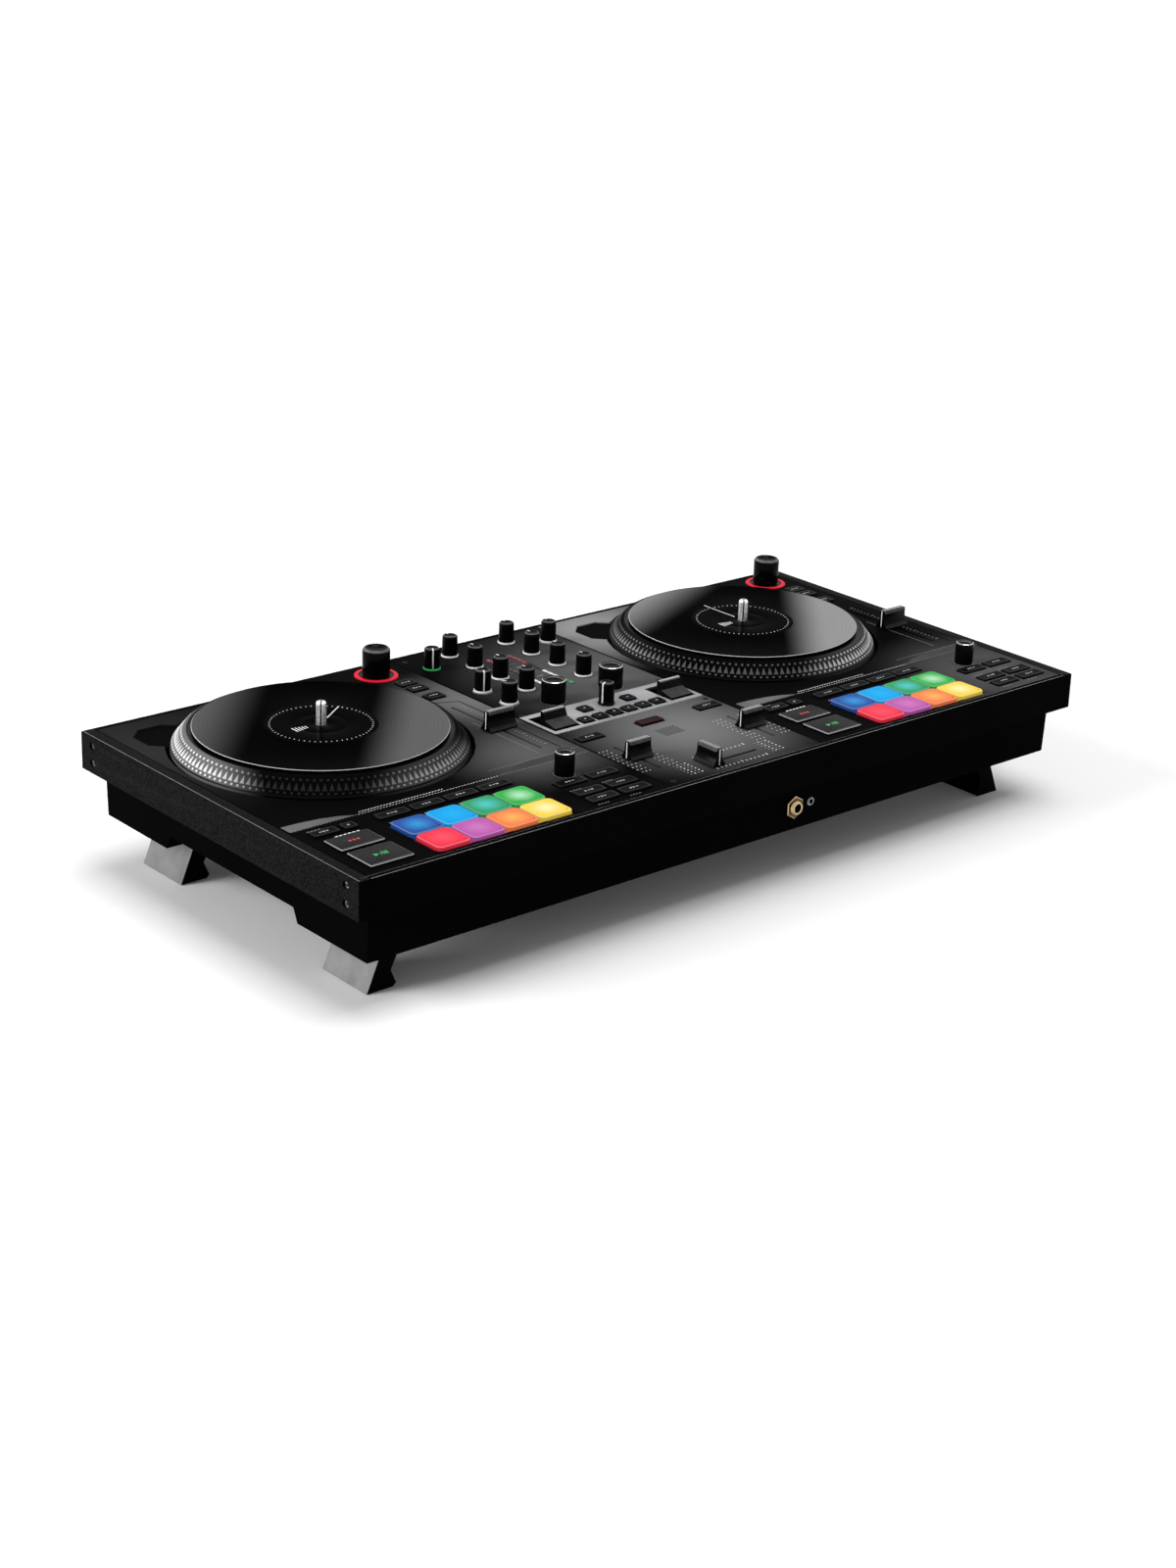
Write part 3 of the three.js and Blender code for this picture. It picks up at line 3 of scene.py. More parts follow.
import bpy
import bmesh
from mathutils import Matrix, Vector


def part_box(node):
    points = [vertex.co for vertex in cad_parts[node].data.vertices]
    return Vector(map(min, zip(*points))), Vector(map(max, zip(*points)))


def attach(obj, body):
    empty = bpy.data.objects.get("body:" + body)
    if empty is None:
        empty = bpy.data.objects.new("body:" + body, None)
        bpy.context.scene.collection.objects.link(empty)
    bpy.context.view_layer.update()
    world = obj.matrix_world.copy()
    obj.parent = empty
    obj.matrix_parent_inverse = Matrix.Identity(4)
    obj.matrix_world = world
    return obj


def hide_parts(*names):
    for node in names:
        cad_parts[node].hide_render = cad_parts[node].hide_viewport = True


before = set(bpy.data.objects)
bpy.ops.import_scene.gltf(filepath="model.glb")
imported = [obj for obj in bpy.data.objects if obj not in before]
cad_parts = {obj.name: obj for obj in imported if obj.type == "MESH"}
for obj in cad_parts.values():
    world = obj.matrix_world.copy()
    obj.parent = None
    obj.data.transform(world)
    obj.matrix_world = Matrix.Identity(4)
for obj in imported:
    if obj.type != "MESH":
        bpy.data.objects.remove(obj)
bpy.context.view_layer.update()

# Sizes are in mm in the top frame: x to the right and y to the back from the front left corner of
# the plates, z up from their top.
MM = 0.001
BODY_WIDTH, BODY_DEPTH, PLATE_HEIGHT = 671.0, 324.7, 100.0
DECK_PITCH = 401.06
DECKS = (("left", 0.0), ("right", DECK_PITCH))
PLATTER_X, PLATTER_Y = 120.65, 208.66
SPINDLE_TOP = 31.5
MIXER_COLUMNS = (("left", 307.4), ("right", 362.4))
MIXER_ROWS = (212.5, 243.0, 273.5, 304.0)
FILTER_Y = 182
CHANNEL_FADERS = (("left", 281), ("right", 389))
LOOP_X, LOOP_Y = 219.5, 65.5
PAD_SIDE_TOP, PAD_RIM_TOP = (0.1017, 0.1021), (0.10236, 0.10248)  # metres over the floor


def at(x, y, z):
    """A point of the top frame in metres."""
    return Vector(((x - BODY_WIDTH / 2) * MM, (y - BODY_DEPTH / 2) * MM, (z + PLATE_HEIGHT) * MM))


# -------- nodes

def new_tree(owner):
    """The emptied node tree of a material or world."""
    owner.use_nodes = True
    owner.node_tree.nodes.clear()
    return owner.node_tree


def node(tree, kind, inputs, **settings):
    """Adds a node. Its inputs, by name or number, are linked to a socket or set to a value."""
    made = tree.nodes.new("ShaderNode" + kind)
    for name, value in settings.items():
        setattr(made, name, value)
    for name, value in inputs.items():
        if isinstance(value, bpy.types.NodeSocket):
            tree.links.new(value, made.inputs[name])
        else:
            made.inputs[name].default_value = value
    return made


def number(tree, operation, *values):
    return node(tree, "Math", dict(enumerate(values)), operation=operation).outputs["Value"]


def vector(tree, operation, *values, result="Vector"):
    return node(tree, "VectorMath", dict(enumerate(values)), operation=operation).outputs[result]


def noise(tree, place, scale, detail=3.0):
    inputs = {"Vector": place, "Scale": scale, "Detail": detail, "Roughness": 0.55}
    return node(tree, "TexNoise", inputs).outputs["Fac"]


def spread(tree, value, low, high, start=0.3, end=0.7, curve="LINEAR"):
    """Maps a value from start..end to low..high."""
    inputs = {"Value": value, "From Min": start, "From Max": end, "To Min": low, "To Max": high}
    return node(tree, "MapRange", inputs, interpolation_type=curve).outputs["Result"]


def mixed(tree, factor, first, second):
    """From first at factor 0 to second at factor 1; each is a socket or an (r, g, b) tuple."""
    made = node(tree, "Mix", {"Factor": factor}, data_type="RGBA")
    for name, value in (("A", first), ("B", second)):
        socket = [s for s in made.inputs if s.name == name and s.type == "RGBA"][0]
        if isinstance(value, tuple):
            socket.default_value = (*value, 1)
        else:
            tree.links.new(value, socket)
    return [s for s in made.outputs if s.type == "RGBA"][0]


def white_rays(tree):
    """1 for the rays that see the background: from the camera, off a gloss or through glass."""
    path = node(tree, "LightPath", {}).outputs
    indirect = number(tree, "MAXIMUM", path["Is Glossy Ray"], path["Is Transmission Ray"])
    return number(tree, "MAXIMUM", path["Is Camera Ray"], indirect)


# -------- materials

def scaled(color, factor):
    return tuple(c * factor for c in color)


def started(name):
    """A new material, its tree and its texture coordinates."""
    material = bpy.data.materials.new(name)
    tree = new_tree(material)
    return material, tree, node(tree, "TexCoord", {}).outputs


def closed(material, inputs, height, strength, distance=0.0001):
    """Ends a material in one Principled shader with these inputs and a bump."""
    tree = material.node_tree
    bump = node(tree, "Bump", {"Strength": strength, "Distance": distance, "Height": height})
    shader = node(tree, "BsdfPrincipled", {**inputs, "Normal": bump.outputs["Normal"]})
    node(tree, "OutputMaterial", {"Surface": shader.outputs["BSDF"]})
    return material


def surface(name, color, rough, metal=0.0, specular=0.35, vary=0.25, patch=14.0, grain=1800.0,
            bump=0.15, rough_spread=0.08, glow=None, glow_strength=1.0, stretch=None, pools=()):
    """A finish with cloudy colour variation, uneven gloss and a fine grain.

    A pool is painted light, a soft round tone: its centre, inner and outer radius in metres and its
    colour."""
    material, tree, coords = started(name)
    place = grain_place = coords["Object"]
    if stretch:
        grain_place = node(tree, "Mapping", {"Vector": place, "Scale": stretch}).outputs["Vector"]
    cloud = spread(tree, noise(tree, place, patch), 0, 1)
    fine = noise(tree, grain_place, grain, 2.0)
    light = tuple(min(1.0, c * (1 + vary)) for c in color)
    base = mixed(tree, cloud, scaled(color, 1 - vary), light)
    # painted light: each pool lays a soft round tone into the base colour
    for centre, near, far, tone in pools:
        distance = vector(tree, "DISTANCE", place, centre, result="Value")
        base = mixed(tree, spread(tree, distance, 1.0, 0.0, near, far, "SMOOTHSTEP"), base, tone)
    least, most = max(0.02, rough - rough_spread), min(1.0, rough + rough_spread)
    inputs = {"Base Color": base, "Roughness": spread(tree, fine, least, most),
              "Metallic": metal, "Specular IOR Level": specular}
    if glow:
        inputs["Emission Color"] = mixed(tree, cloud, scaled(glow, 0.9), glow)
        inputs["Emission Strength"] = glow_strength
    return closed(material, inputs, fine, bump)


def lit_pad(name, edge, centre):
    """Translucent silicone with a lamp under its middle; UV runs from 0 to 1 over the pad."""
    material, tree, coords = started(name)
    place = coords["Object"]
    shift = vector(tree, "SUBTRACT", coords["UV"], (0.5, 0.5, 0.0))
    length = vector(tree, "LENGTH", shift, result="Value")
    wobble = number(tree, "MULTIPLY_ADD", noise(tree, place, 260.0), 0.12, length)
    color = mixed(tree, spread(tree, wobble, 1.0, 0.0, 0.1, 0.5), edge, centre)
    height = node(tree, "SeparateXYZ", {"Vector": place}).outputs["Z"]
    rim = tuple(min(0.9, c * 0.75 + 0.16) for c in edge)
    color = mixed(tree, spread(tree, height, 0.0, 1.0, *PAD_RIM_TOP), rim, color)
    color = mixed(tree, spread(tree, height, 0.0, 1.0, *PAD_SIDE_TOP), scaled(edge, 0.55), color)
    inputs = {"Emission Color": color, "Emission Strength": 0.92,
              "Base Color": (*scaled(edge, 0.12), 1), "Specular IOR Level": 0.04,
              "Roughness": spread(tree, noise(tree, place, 1500.0), 0.42, 0.6)}
    return closed(material, inputs, noise(tree, place, 2200.0), 0.1)


def grooved(name, color, rough, axis, pitch, depth, specular, bands, tone, start, end, lobes):
    """Turned or pressed rings round an upright axis, with an anisotropic gloss.

    The grey tone is a painted highlight on two sides, in the base colour. It sets in from start to
    end, as shares of the reach of each lobe."""
    material, tree, coords = started(name)
    shift = vector(tree, "SUBTRACT", coords["Object"], axis)
    flat = vector(tree, "MULTIPLY", shift, (1, 1, 0))
    radius = vector(tree, "LENGTH", flat, result="Value")
    along = node(tree, "CombineXYZ", {"X": radius}).outputs["Vector"]
    wave = node(tree, "TexWave", {"Scale": 1.0 / pitch / 3.2, "Distortion": 0.0, "Vector": along},
                wave_type="BANDS")
    broad = noise(tree, along, bands, 2.0)
    cloud = spread(tree, broad, 0, 1)
    base = mixed(tree, cloud, scaled(color, 0.75), scaled(color, 1.35))
    reach = number(tree, "MAXIMUM", *(vector(tree, "DOT_PRODUCT", flat, (*lobe, 0.0), result="Value")
                                      for lobe in lobes))
    # painted highlight where the lobes reach
    lit = mixed(tree, cloud, (tone * 0.85,) * 3, (tone,) * 3)
    base = mixed(tree, spread(tree, reach, 0.0, 1.0, start, end, "SMOOTHSTEP"), base, lit)
    tangent = vector(tree, "NORMALIZE", vector(tree, "CROSS_PRODUCT", flat, (0, 0, 1)))
    inputs = {"Base Color": base, "Roughness": spread(tree, broad, rough - 0.06, rough + 0.08),
              "Specular IOR Level": specular, "Anisotropic": 0.85, "Tangent": tangent}
    return closed(material, inputs, wave.outputs["Fac"], 0.35, depth)


def plate_look(name, *pools):
    """Painted plate with painted highlights; a pool gives x and y in metres, its reach and its level."""
    pools = [((x, y, 0.1), 0.0, reach, (tone, tone, tone * 1.02)) for x, y, reach, tone in pools]
    return surface(name, (0.0022, 0.0022, 0.0024), 0.4, specular=0.0015, vary=0.12, patch=5.0,
                   grain=2600, bump=0.06, stretch=(0.12, 1.0, 1.0), pools=pools)


def spindle_look(side, cx):
    """Steel with a painted reflection: soft dark and light stripes along the pin and a dark middle on
    its dome.
    """
    top = at(cx, PLATTER_Y, SPINDLE_TOP)
    left = top - Vector((0.743, -0.669, 0.0))  # one metre away, so that the pools are straight
    stripes = ((0.4, 0.04), (-0.75, 0.95), (-1.95, 0.2), (-2.25, 0.95))
    pools = [(left, 1 + reach * MM, 1 + (reach + 0.3) * MM, (tone,) * 3) for reach, tone in stripes]
    pools.append((top, 0.5 * MM, 1.8 * MM, (0.15, 0.15, 0.15)))
    return surface(f"spindle_metal_{side}", (0.85, 0.85, 0.86), 0.3, metal=0.75, vary=0.05,
                   patch=60, grain=300, bump=0.002, pools=pools)


tray_black = surface("tray_black", (0.0011, 0.0011, 0.0012), 0.6, specular=0.004, grain=1500, bump=0.12)
frame_black = surface("frame_black", (0.0011, 0.0011, 0.0012), 0.5, specular=0.004, grain=2200, bump=0.1)
cheek_paint = surface("cheek_paint", (0.0068, 0.0068, 0.007), 0.62, specular=0.015, vary=0.8,
                      patch=500, grain=1500, bump=0.8)
edge_silver = surface("edge_silver", (0.3, 0.3, 0.31), 0.35, metal=0.3, grain=3000, bump=0.05, patch=60)
# The pools on both plates are painted highlights, the sheen of the lamps laid into the colour.
plate_deck = plate_look("plate_deck", (0.105, 0.13, 0.11, 0.26), (-0.11, -0.05, 0.08, 0.09),
                        (-0.075, 0.055, 0.08, 0.14), (0.29, -0.12, 0.1, 0.08),
                        (-0.33, 0.1, 0.14, 0.025))
plate_mixer = plate_look("plate_mixer", (0.04, 0.05, 0.13, 0.1), (0.012, -0.08, 0.11, 0.16))
# painted light: the feet's outer faces grey as if lit, their other faces black
foot_grey = surface("foot_grey", (0.27, 0.27, 0.272), 0.6, specular=0.1, patch=45, vary=0.2,
                    grain=900, bump=0.5)
foot_black = surface("foot_black", (0.0015, 0.0015, 0.0016), 0.6, specular=0.01, grain=1600, bump=0.3)
knob_black = surface("knob_black", (0.0016, 0.0016, 0.0018), 0.3, specular=0.04, patch=120, bump=0.06)
knob_gloss = surface("knob_gloss", (0.0014, 0.0014, 0.0016), 0.16, specular=0.04, patch=90, bump=0.03)
label_black = surface("label_black", (0.001, 0.001, 0.0011), 0.2, specular=0.001, patch=60, bump=0.03)
knob_grip = surface("knob_grip", (0.007, 0.007, 0.008), 0.55, specular=0.05, patch=300, grain=2600,
                    bump=0.35)
# painted highlight on the knobs' rounded top edges
knob_edge = surface("knob_edge", (0.11, 0.11, 0.115), 0.45, specular=0.1, vary=0.5, patch=700,
                    grain=2400, bump=0.25)
# painted highlight on the tops of ribs and on the record's rounded edge
highlight_grey = surface("highlight_grey", (0.42, 0.42, 0.43), 0.45, specular=0.2, vary=0.2, patch=500,
                  grain=2400, bump=0.2)
print_white = surface("print_white", (0.82, 0.82, 0.83), 0.5, specular=0.2, vary=0.08, patch=250,
                      bump=0.1)
legend_grey = surface("legend_grey", (0.5, 0.5, 0.51), 0.5, specular=0.1, vary=0.15, patch=250,
                      bump=0.1)
# dim print, and painted highlight lines along the top edges
dim_print_and_highlight = surface("dim_print_and_highlight", (0.24, 0.24, 0.245), 0.5, specular=0.1, vary=0.2, patch=250, bump=0.1)
# dark print, and painted shade in the seams and the hollows
dark_print_and_shade = surface("dark_print_and_shade", (0.0006, 0.0006, 0.0007), 0.6, specular=0.005, vary=0.2, patch=80)
strip_grey = surface("strip_grey", (0.045, 0.045, 0.046), 0.42, specular=0.01, vary=0.15, patch=18,
                     grain=2500, bump=0.08)
strip_light = surface("strip_light", (0.11, 0.11, 0.112), 0.42, specular=0.05, vary=0.25, patch=18,
                      grain=2500, bump=0.08)
band_light = surface("band_light", (0.3, 0.3, 0.31), 0.4, specular=0.2, vary=0.25, patch=14,
                     grain=2500, bump=0.08)
chrome = surface("chrome", (0.62, 0.63, 0.64), 0.12, metal=1.0, vary=0.06, patch=60, grain=300,
                 bump=0.004, rough_spread=0.02)
steel = surface("steel", (0.6, 0.6, 0.61), 0.3, metal=1.0, vary=0.15, patch=200, bump=0.1)
brass_metal = surface("brass_metal", (0.5, 0.37, 0.2), 0.26, metal=1.0, patch=260, bump=0.08)
brass_dark = surface("brass_dark", (0.1, 0.07, 0.035), 0.35, metal=1.0, vary=0.3, patch=260, bump=0.1)
ring_grey = surface("ring_grey", (0.3, 0.3, 0.305), 0.4, specular=0.2, patch=200, bump=0.1)
# painted shade: black in the hollows of the screw heads and in the bores of the headphone sockets
hole_black = surface("hole_black", (0.0006, 0.0006, 0.0006), 0.7, specular=0.02, patch=100)
key_black = surface("key_black", (0.0018, 0.0018, 0.002), 0.45, specular=0.015, patch=160,
                    grain=2300, bump=0.2)
key_top = surface("key_top", (0.0032, 0.0032, 0.0035), 0.42, specular=0.01, patch=90, grain=2300,
                  bump=0.2)
# painted highlight on the keys' rolled edges
key_rim = surface("key_rim", (0.005, 0.005, 0.0053), 0.4, specular=0.06, patch=90, grain=2300)
cue_top = surface("cue_top", (0.014, 0.014, 0.0145), 0.4, specular=0.02, patch=40, grain=2300)
# painted light: the paddles' upward front faces lighter than their black
paddle_face = surface("paddle_face", (0.035, 0.035, 0.036), 0.5, specular=0.05, patch=160,
                      grain=2300, bump=0.2)
# painted highlight: the fader caps' flared feet a little lighter than their black
fader_foot = surface("fader_foot", (0.013, 0.013, 0.0135), 0.5, specular=0.05, patch=200,
                     grain=2300, bump=0.2)
# painted highlight on the fader caps' upper sides and ribs and on the browse knobs' top chamfer
upper_edge_highlight = surface("upper_edge_highlight", (0.12, 0.12, 0.124), 0.5, specular=0.08, patch=300, grain=2300,
                     bump=0.2)
key_red = surface("key_red", (0.014, 0.0022, 0.0026), 0.42, specular=0.02, patch=160, grain=2300,
                  bump=0.2)
glyph_red = surface("glyph_red", (0.2, 0.01, 0.012), 0.5, patch=300, glow=(0.55, 0.015, 0.02),
                    glow_strength=0.8)
glyph_green = surface("glyph_green", (0.01, 0.15, 0.04), 0.5, patch=300, glow=(0.02, 0.42, 0.1),
                      glow_strength=0.8)
light_red = surface("light_red", (0.12, 0.003, 0.006), 0.35, specular=0.03, patch=60,
                    glow=(0.7, 0.008, 0.03), glow_strength=0.95)
light_green = surface("light_green", (0.01, 0.1, 0.03), 0.4, specular=0.1, patch=200,
                      glow=(0.02, 0.2, 0.06), glow_strength=0.9)
light_white = surface("light_white", (0.3, 0.3, 0.3), 0.4, patch=200, glow=(0.5, 0.52, 0.5),
                      glow_strength=0.9)
red_frame = surface("red_frame", (0.25, 0.03, 0.04), 0.4, specular=0.2, patch=200)
meter_dark = surface("meter_dark", (0.012, 0.012, 0.012), 0.3, specular=0.2, patch=200)
board_dark = surface("board_dark", (0.001, 0.0014, 0.0012), 0.5, specular=0.01, patch=150,
                     grain=1500, bump=0.25)
socket_black = surface("socket_black", (0.008, 0.008, 0.009), 0.4, specular=0.15, patch=120)

PAD_COLOURS = (  # at the edge and over the lamp
    ((0.9, 0.035, 0.075), (0.95, 0.09, 0.14)),
    ((0.5, 0.105, 0.42), (0.62, 0.2, 0.52)),
    ((0.92, 0.22, 0.075), (0.98, 0.48, 0.1)),
    ((0.93, 0.66, 0.08), (1.0, 0.93, 0.5)),
    ((0.02, 0.085, 0.36), (0.03, 0.33, 0.72)),
    ((0.002, 0.36, 0.8), (0.01, 0.44, 0.88)),
    ((0.03, 0.33, 0.13), (0.09, 0.6, 0.62)),
    ((0.03, 0.42, 0.07), (0.5, 0.85, 0.55)),
)
# glowing bars on the plate: painted light that the pads throw round them
pad_spills = [surface(f"pad_spill_{i + 1}", scaled(edge, 0.02), 0.5, specular=0.01, glow=edge,
                      glow_strength=0.2) for i, (edge, centre) in enumerate(PAD_COLOURS)]
pad_looks = [lit_pad(f"pad_light_{i + 1}", *colors) for i, colors in enumerate(PAD_COLOURS)]


# -------- mesh helpers

def linked(name, data):
    """A new object in the scene."""
    item = bpy.data.objects.new(name, data)
    bpy.context.scene.collection.objects.link(item)
    return item


def meshed(name, bm, looks):
    mesh = bpy.data.meshes.new(name)
    bm.to_mesh(mesh)
    bm.free()
    for look in looks:
        mesh.materials.append(look)
    return linked(name, mesh)


def finished(name, bm, looks, body, replaces=(), smooth=35.0, recalc=True):
    """Makes the piece, puts it on its body and hides the solids that it stands for."""
    if recalc:
        bmesh.ops.recalc_face_normals(bm, faces=bm.faces)
    item = meshed(name, bm, looks)
    for face in item.data.polygons:
        face.use_smooth = True
    item.data.set_sharp_from_angle(angle=math.radians(smooth))
    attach(item, body)
    if replaces:
        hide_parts(*replaces)
    return item


def refined(name, looks, body, bevel, picker=lambda face: 0):
    """A copy of a solid with rounded edges and its own finish."""
    bm = bmesh.new()
    bm.from_mesh(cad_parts[name].data)
    bmesh.ops.remove_doubles(bm, verts=bm.verts, dist=1e-6)
    bmesh.ops.dissolve_limit(bm, angle_limit=math.radians(0.5), verts=bm.verts, edges=bm.edges)
    for face in bm.faces:
        face.material_index = picker(face)
    item = finished(name + "_shell", bm, looks, body, (name,))
    rounding = item.modifiers.new("edges", "BEVEL")
    rounding.width = bevel * MM
    rounding.segments = 2
    rounding.limit_method = "ANGLE"
    rounding.angle_limit = math.radians(30)
    rounding.use_clamp_overlap = True
    rounding.harden_normals = True


def turn(bm, profile, cx, cy, steps=96, looks=0, shape=None, place=at):
    """Turns (radius, height) points round an axis; looks gives the finish of each band.

    shape(angle, radius, height) may change the radius. place(x, y, height) gives the point, so
    that the axis need not be upright."""
    rings = []
    for radius, z in profile:
        ring = []
        for i in range(steps if radius > 0 else 1):
            angle = 2 * math.pi * i / steps
            r = shape(angle, radius, z) if shape and radius > 0 else radius
            ring.append(bm.verts.new(place(cx + r * math.cos(angle), cy + r * math.sin(angle), z)))
        rings.append(ring)
    for band, (low, high) in enumerate(zip(rings, rings[1:])):
        for i in range(steps):
            j = (i + 1) % steps
            if len(low) == 1:
                corners = (low[0], high[j], high[i])
            elif len(high) == 1:
                corners = (low[i], low[j], high[0])
            else:
                corners = (low[i], low[j], high[j], high[i])
            bm.faces.new(corners).material_index = looks if isinstance(looks, int) else looks[band]


def square(x0, y0, x1, y1, z):
    return [(x0, y0, z), (x1, y0, z), (x1, y1, z), (x0, y1, z)]


def outline(x0, y0, x1, y1, radius, z, steps=4):
    """A rectangle with rounded corners, as (x, y, z) points."""
    radius = max(0.01, min(radius, (x1 - x0) / 2 - 0.01, (y1 - y0) / 2 - 0.01))
    points = []
    for cx, cy, start in ((x1 - radius, y0 + radius, -90), (x1 - radius, y1 - radius, 0),
                          (x0 + radius, y1 - radius, 90), (x0 + radius, y0 + radius, 180)):
        for i in range(steps + 1):
            angle = math.radians(start + 90 * i / steps)
            points.append((cx + radius * math.cos(angle), cy + radius * math.sin(angle), z))
    return points


def loft(bm, rings, looks, top, bottom=None, sides=None):
    """Joins rings of (x, y, z) points of equal count and closes the top, and the bottom if named.

    looks gives the finish of each band, or sides that of each side."""
    made = [[bm.verts.new(at(*point)) for point in ring] for ring in rings]
    count = len(made[0])
    for band, (low, high) in enumerate(zip(made, made[1:])):
        look = looks if isinstance(looks, int) else looks[band]
        for i in range(count):
            j = (i + 1) % count
            face = bm.faces.new((low[i], low[j], high[j], high[i]))
            face.material_index = sides[i] if sides else look
    if bottom is not None:
        bm.faces.new(list(reversed(made[0]))).material_index = bottom
    bm.faces.new(made[-1]).material_index = top


def slab(bm, x0, y0, x1, y1, z0, z1, look, radius=0.5, steps=1):
    loft(bm, [outline(x0, y0, x1, y1, radius, z, steps) for z in (z0, z1)], look, look, look)


def key(bm, x, y, width, depth, z0, z1, radius, edge, side, rim, top, dish=0.0):
    """A key with a rounded outline, a rolled edge and a face that may dip a little."""
    steps = [(inset, z, radius - inset * 0.5) for inset, z in (
        (0.0, z0), (0.0, z1 - edge), (edge * 0.3, z1 - edge * 0.3), (edge, z1))]
    if dish:
        steps.append((edge * 2.6, z1 - dish, radius * 0.6))
    rings = [outline(x + inset, y + inset, x + width - inset, y + depth - inset, corner, z)
             for inset, z, corner in steps]
    loft(bm, rings, [side] + [rim] * (len(rings) - 2), top, side)


def mark(bm, points, z, look=0):
    bm.faces.new([bm.verts.new(at(x, y, z)) for x, y in points]).material_index = look


def bar(bm, x0, y0, x1, y1, z, look=0):
    mark(bm, ((x0, y0), (x1, y0), (x1, y1), (x0, y1)), z, look)


def stroke(bm, a, b, width, z, look=0):
    dx, dy = b[0] - a[0], b[1] - a[1]
    size = math.hypot(dx, dy)
    nx, ny = -dy / size * width / 2, dx / size * width / 2
    mark(bm, ((a[0] + nx, a[1] + ny), (a[0] - nx, a[1] - ny),
              (b[0] - nx, b[1] - ny), (b[0] + nx, b[1] + ny)), z, look)


def on_circle(x, y, radius, angle):
    return x + radius * math.cos(angle), y + radius * math.sin(angle)


def dot(bm, x, y, radius, z, look, steps):
    mark(bm, [on_circle(x, y, radius, 2 * math.pi * i / steps) for i in range(steps)], z, look)


def ring_mark(bm, x, y, inner, outer, z, look, steps):
    for i in range(steps):
        a, b = 2 * math.pi * i / steps, 2 * math.pi * (i + 1) / steps
        mark(bm, [on_circle(x, y, *spot) for spot in ((inner, a), (outer, a), (outer, b), (inner, b))],
             z, look)


# -------- body, cheeks, plates and feet

refined("bottom_tray", [tray_black], "base", 0.6)
refined("upper_frame", [frame_black], "base", 0.35)
for side, out in (("left", -1), ("right", 1)):
    refined(f"cheek_{side}", [cheek_paint, frame_black], "base", 0.3,
            lambda face: int(abs(face.normal.y) > 0.5 or face.normal.z < -0.5))
    refined(f"deck_plate_{side}", [plate_deck], "base", 0.2)
    for row in ("front", "back"):
        # the outer faces of the feet take the painted light grey
        refined(f"foot_{row}_{side}", [foot_black, foot_grey], f"foot_{row}_{side}",
                0.5, lambda face: int(face.normal.x * out > 0.5))
    # the upward front faces of the paddles take the painted light
    refined(f"effect_paddle_{side}", [knob_black, paddle_face], f"effect_paddle_{side}",
            0.3,
            lambda face: int(face.normal.z > 0.5 and face.calc_center_median().y < -0.015))
refined("mixer_plate", [plate_mixer], "base", 0.2)
for name in ("deck_board_left", "deck_board_right", "mixer_board"):
    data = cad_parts[name].data
    data.materials.clear()
    data.materials.append(board_dark)
refined("rear_sockets", [socket_black], "base", 0.2)

# ribs on the paddles' tabs, in the painted highlight grey
RIB_WIDTH, RIB_PITCH, RIB_FRONT, RIB_BACK = 1.1, 1.53, 148.0, 150.35
for side, x in (("left", 268.7), ("right", 380.3)):
    bm = bmesh.new()
    for k in range(13):
        start = x + 0.7 + k * RIB_PITCH
        loft(bm, [square(start + w, RIB_FRONT + w, start + RIB_WIDTH - w, RIB_BACK - w, z)
                  for w, z in ((0.0, 7.2), (0.0, 9.75), (0.2, 10.0))], 0, 0, 0)
    finished(f"paddle_ribs_{side}", bm, [highlight_grey], f"effect_paddle_{side}")

# screws in the sinks of the cheeks; each turns round an axis that points out of its cheek
bm = bmesh.new()
for x, out in ((3.0, -1), (BODY_WIDTH - 3.0, 1)):
    for y in (14.0, 310.7):
        for z in (-7.1, -19.9):
            turn(bm, [(0, 0.5), (1.1, 0.5), (1.2, 1.6), (2.6, 1.5), (2.9, 0.9), (2.9, 0.0)], y, z, 24,
                 [1, 0, 0, 0, 0], place=lambda across, up, d: at(x + out * d, across, up))
finished("cheek_screws", bm, [steel, hole_black], "base")

bm = bmesh.new()
for x, y in ((268.5, 121), (269, 171), (271, 12), (401.5, 121), (401, 171), (399, 12), (271, 312),
             (399, 312)):
    turn(bm, [(2.2, 0.02), (2.1, 0.14), (1.0, 0.18), (0.9, 0.05), (0, 0.05)], x, y, 24, [0, 0, 0, 1])
finished("plate_screws", bm, [knob_grip, hole_black], "base")

# -------- platters, records and spindles


def lobe(degrees, reach):
    """A direction in the plan of a painted highlight, scaled to reach 1 at that many metres from the
    axis.
    """
    return math.cos(math.radians(degrees)) / reach, math.sin(math.radians(degrees)) / reach


# Painted highlights on the records, the platters' slopes and the strobe dots lie along these lobes.
DISC_LOBES = {"left": (lobe(138, 0.095), lobe(318, 0.066)),
              "right": (lobe(115, 0.1), lobe(318, 0.066))}
SLOPE_LOBES = {"left": (lobe(160, 0.098), lobe(287, 0.131)),
               "right": (lobe(165, 0.139), lobe(300, 0.105))}
# Painted light per deck: the record's highlight, the slope's highlight, the dots' base and their
# highlight; the decks differ only in how they are lit.
TONES = {"left": (0.11, 0.16, 0.015, 0.9), "right": (0.27, 0.06, 0.08, 0.7)}
SLOPE_IN, SLOPE_OUT = (93.9, 12.0), (102.9, 1.3)  # radius and height of the edges of the slope
LABEL_MARK_Z = 14.66


def on_slope(angle, share, cx, lift):
    """A point over the platter's slope; share runs from its outer to its inner edge."""
    r = SLOPE_OUT[0] + (SLOPE_IN[0] - SLOPE_OUT[0]) * share
    z = SLOPE_OUT[1] + (SLOPE_IN[1] - SLOPE_OUT[1]) * share
    nr, nz = SLOPE_IN[1] - SLOPE_OUT[1], SLOPE_OUT[0] - SLOPE_IN[0]
    size = math.hypot(nr, nz)
    return (*on_circle(cx, PLATTER_Y, r + nr / size * lift, angle), z + nz / size * lift)


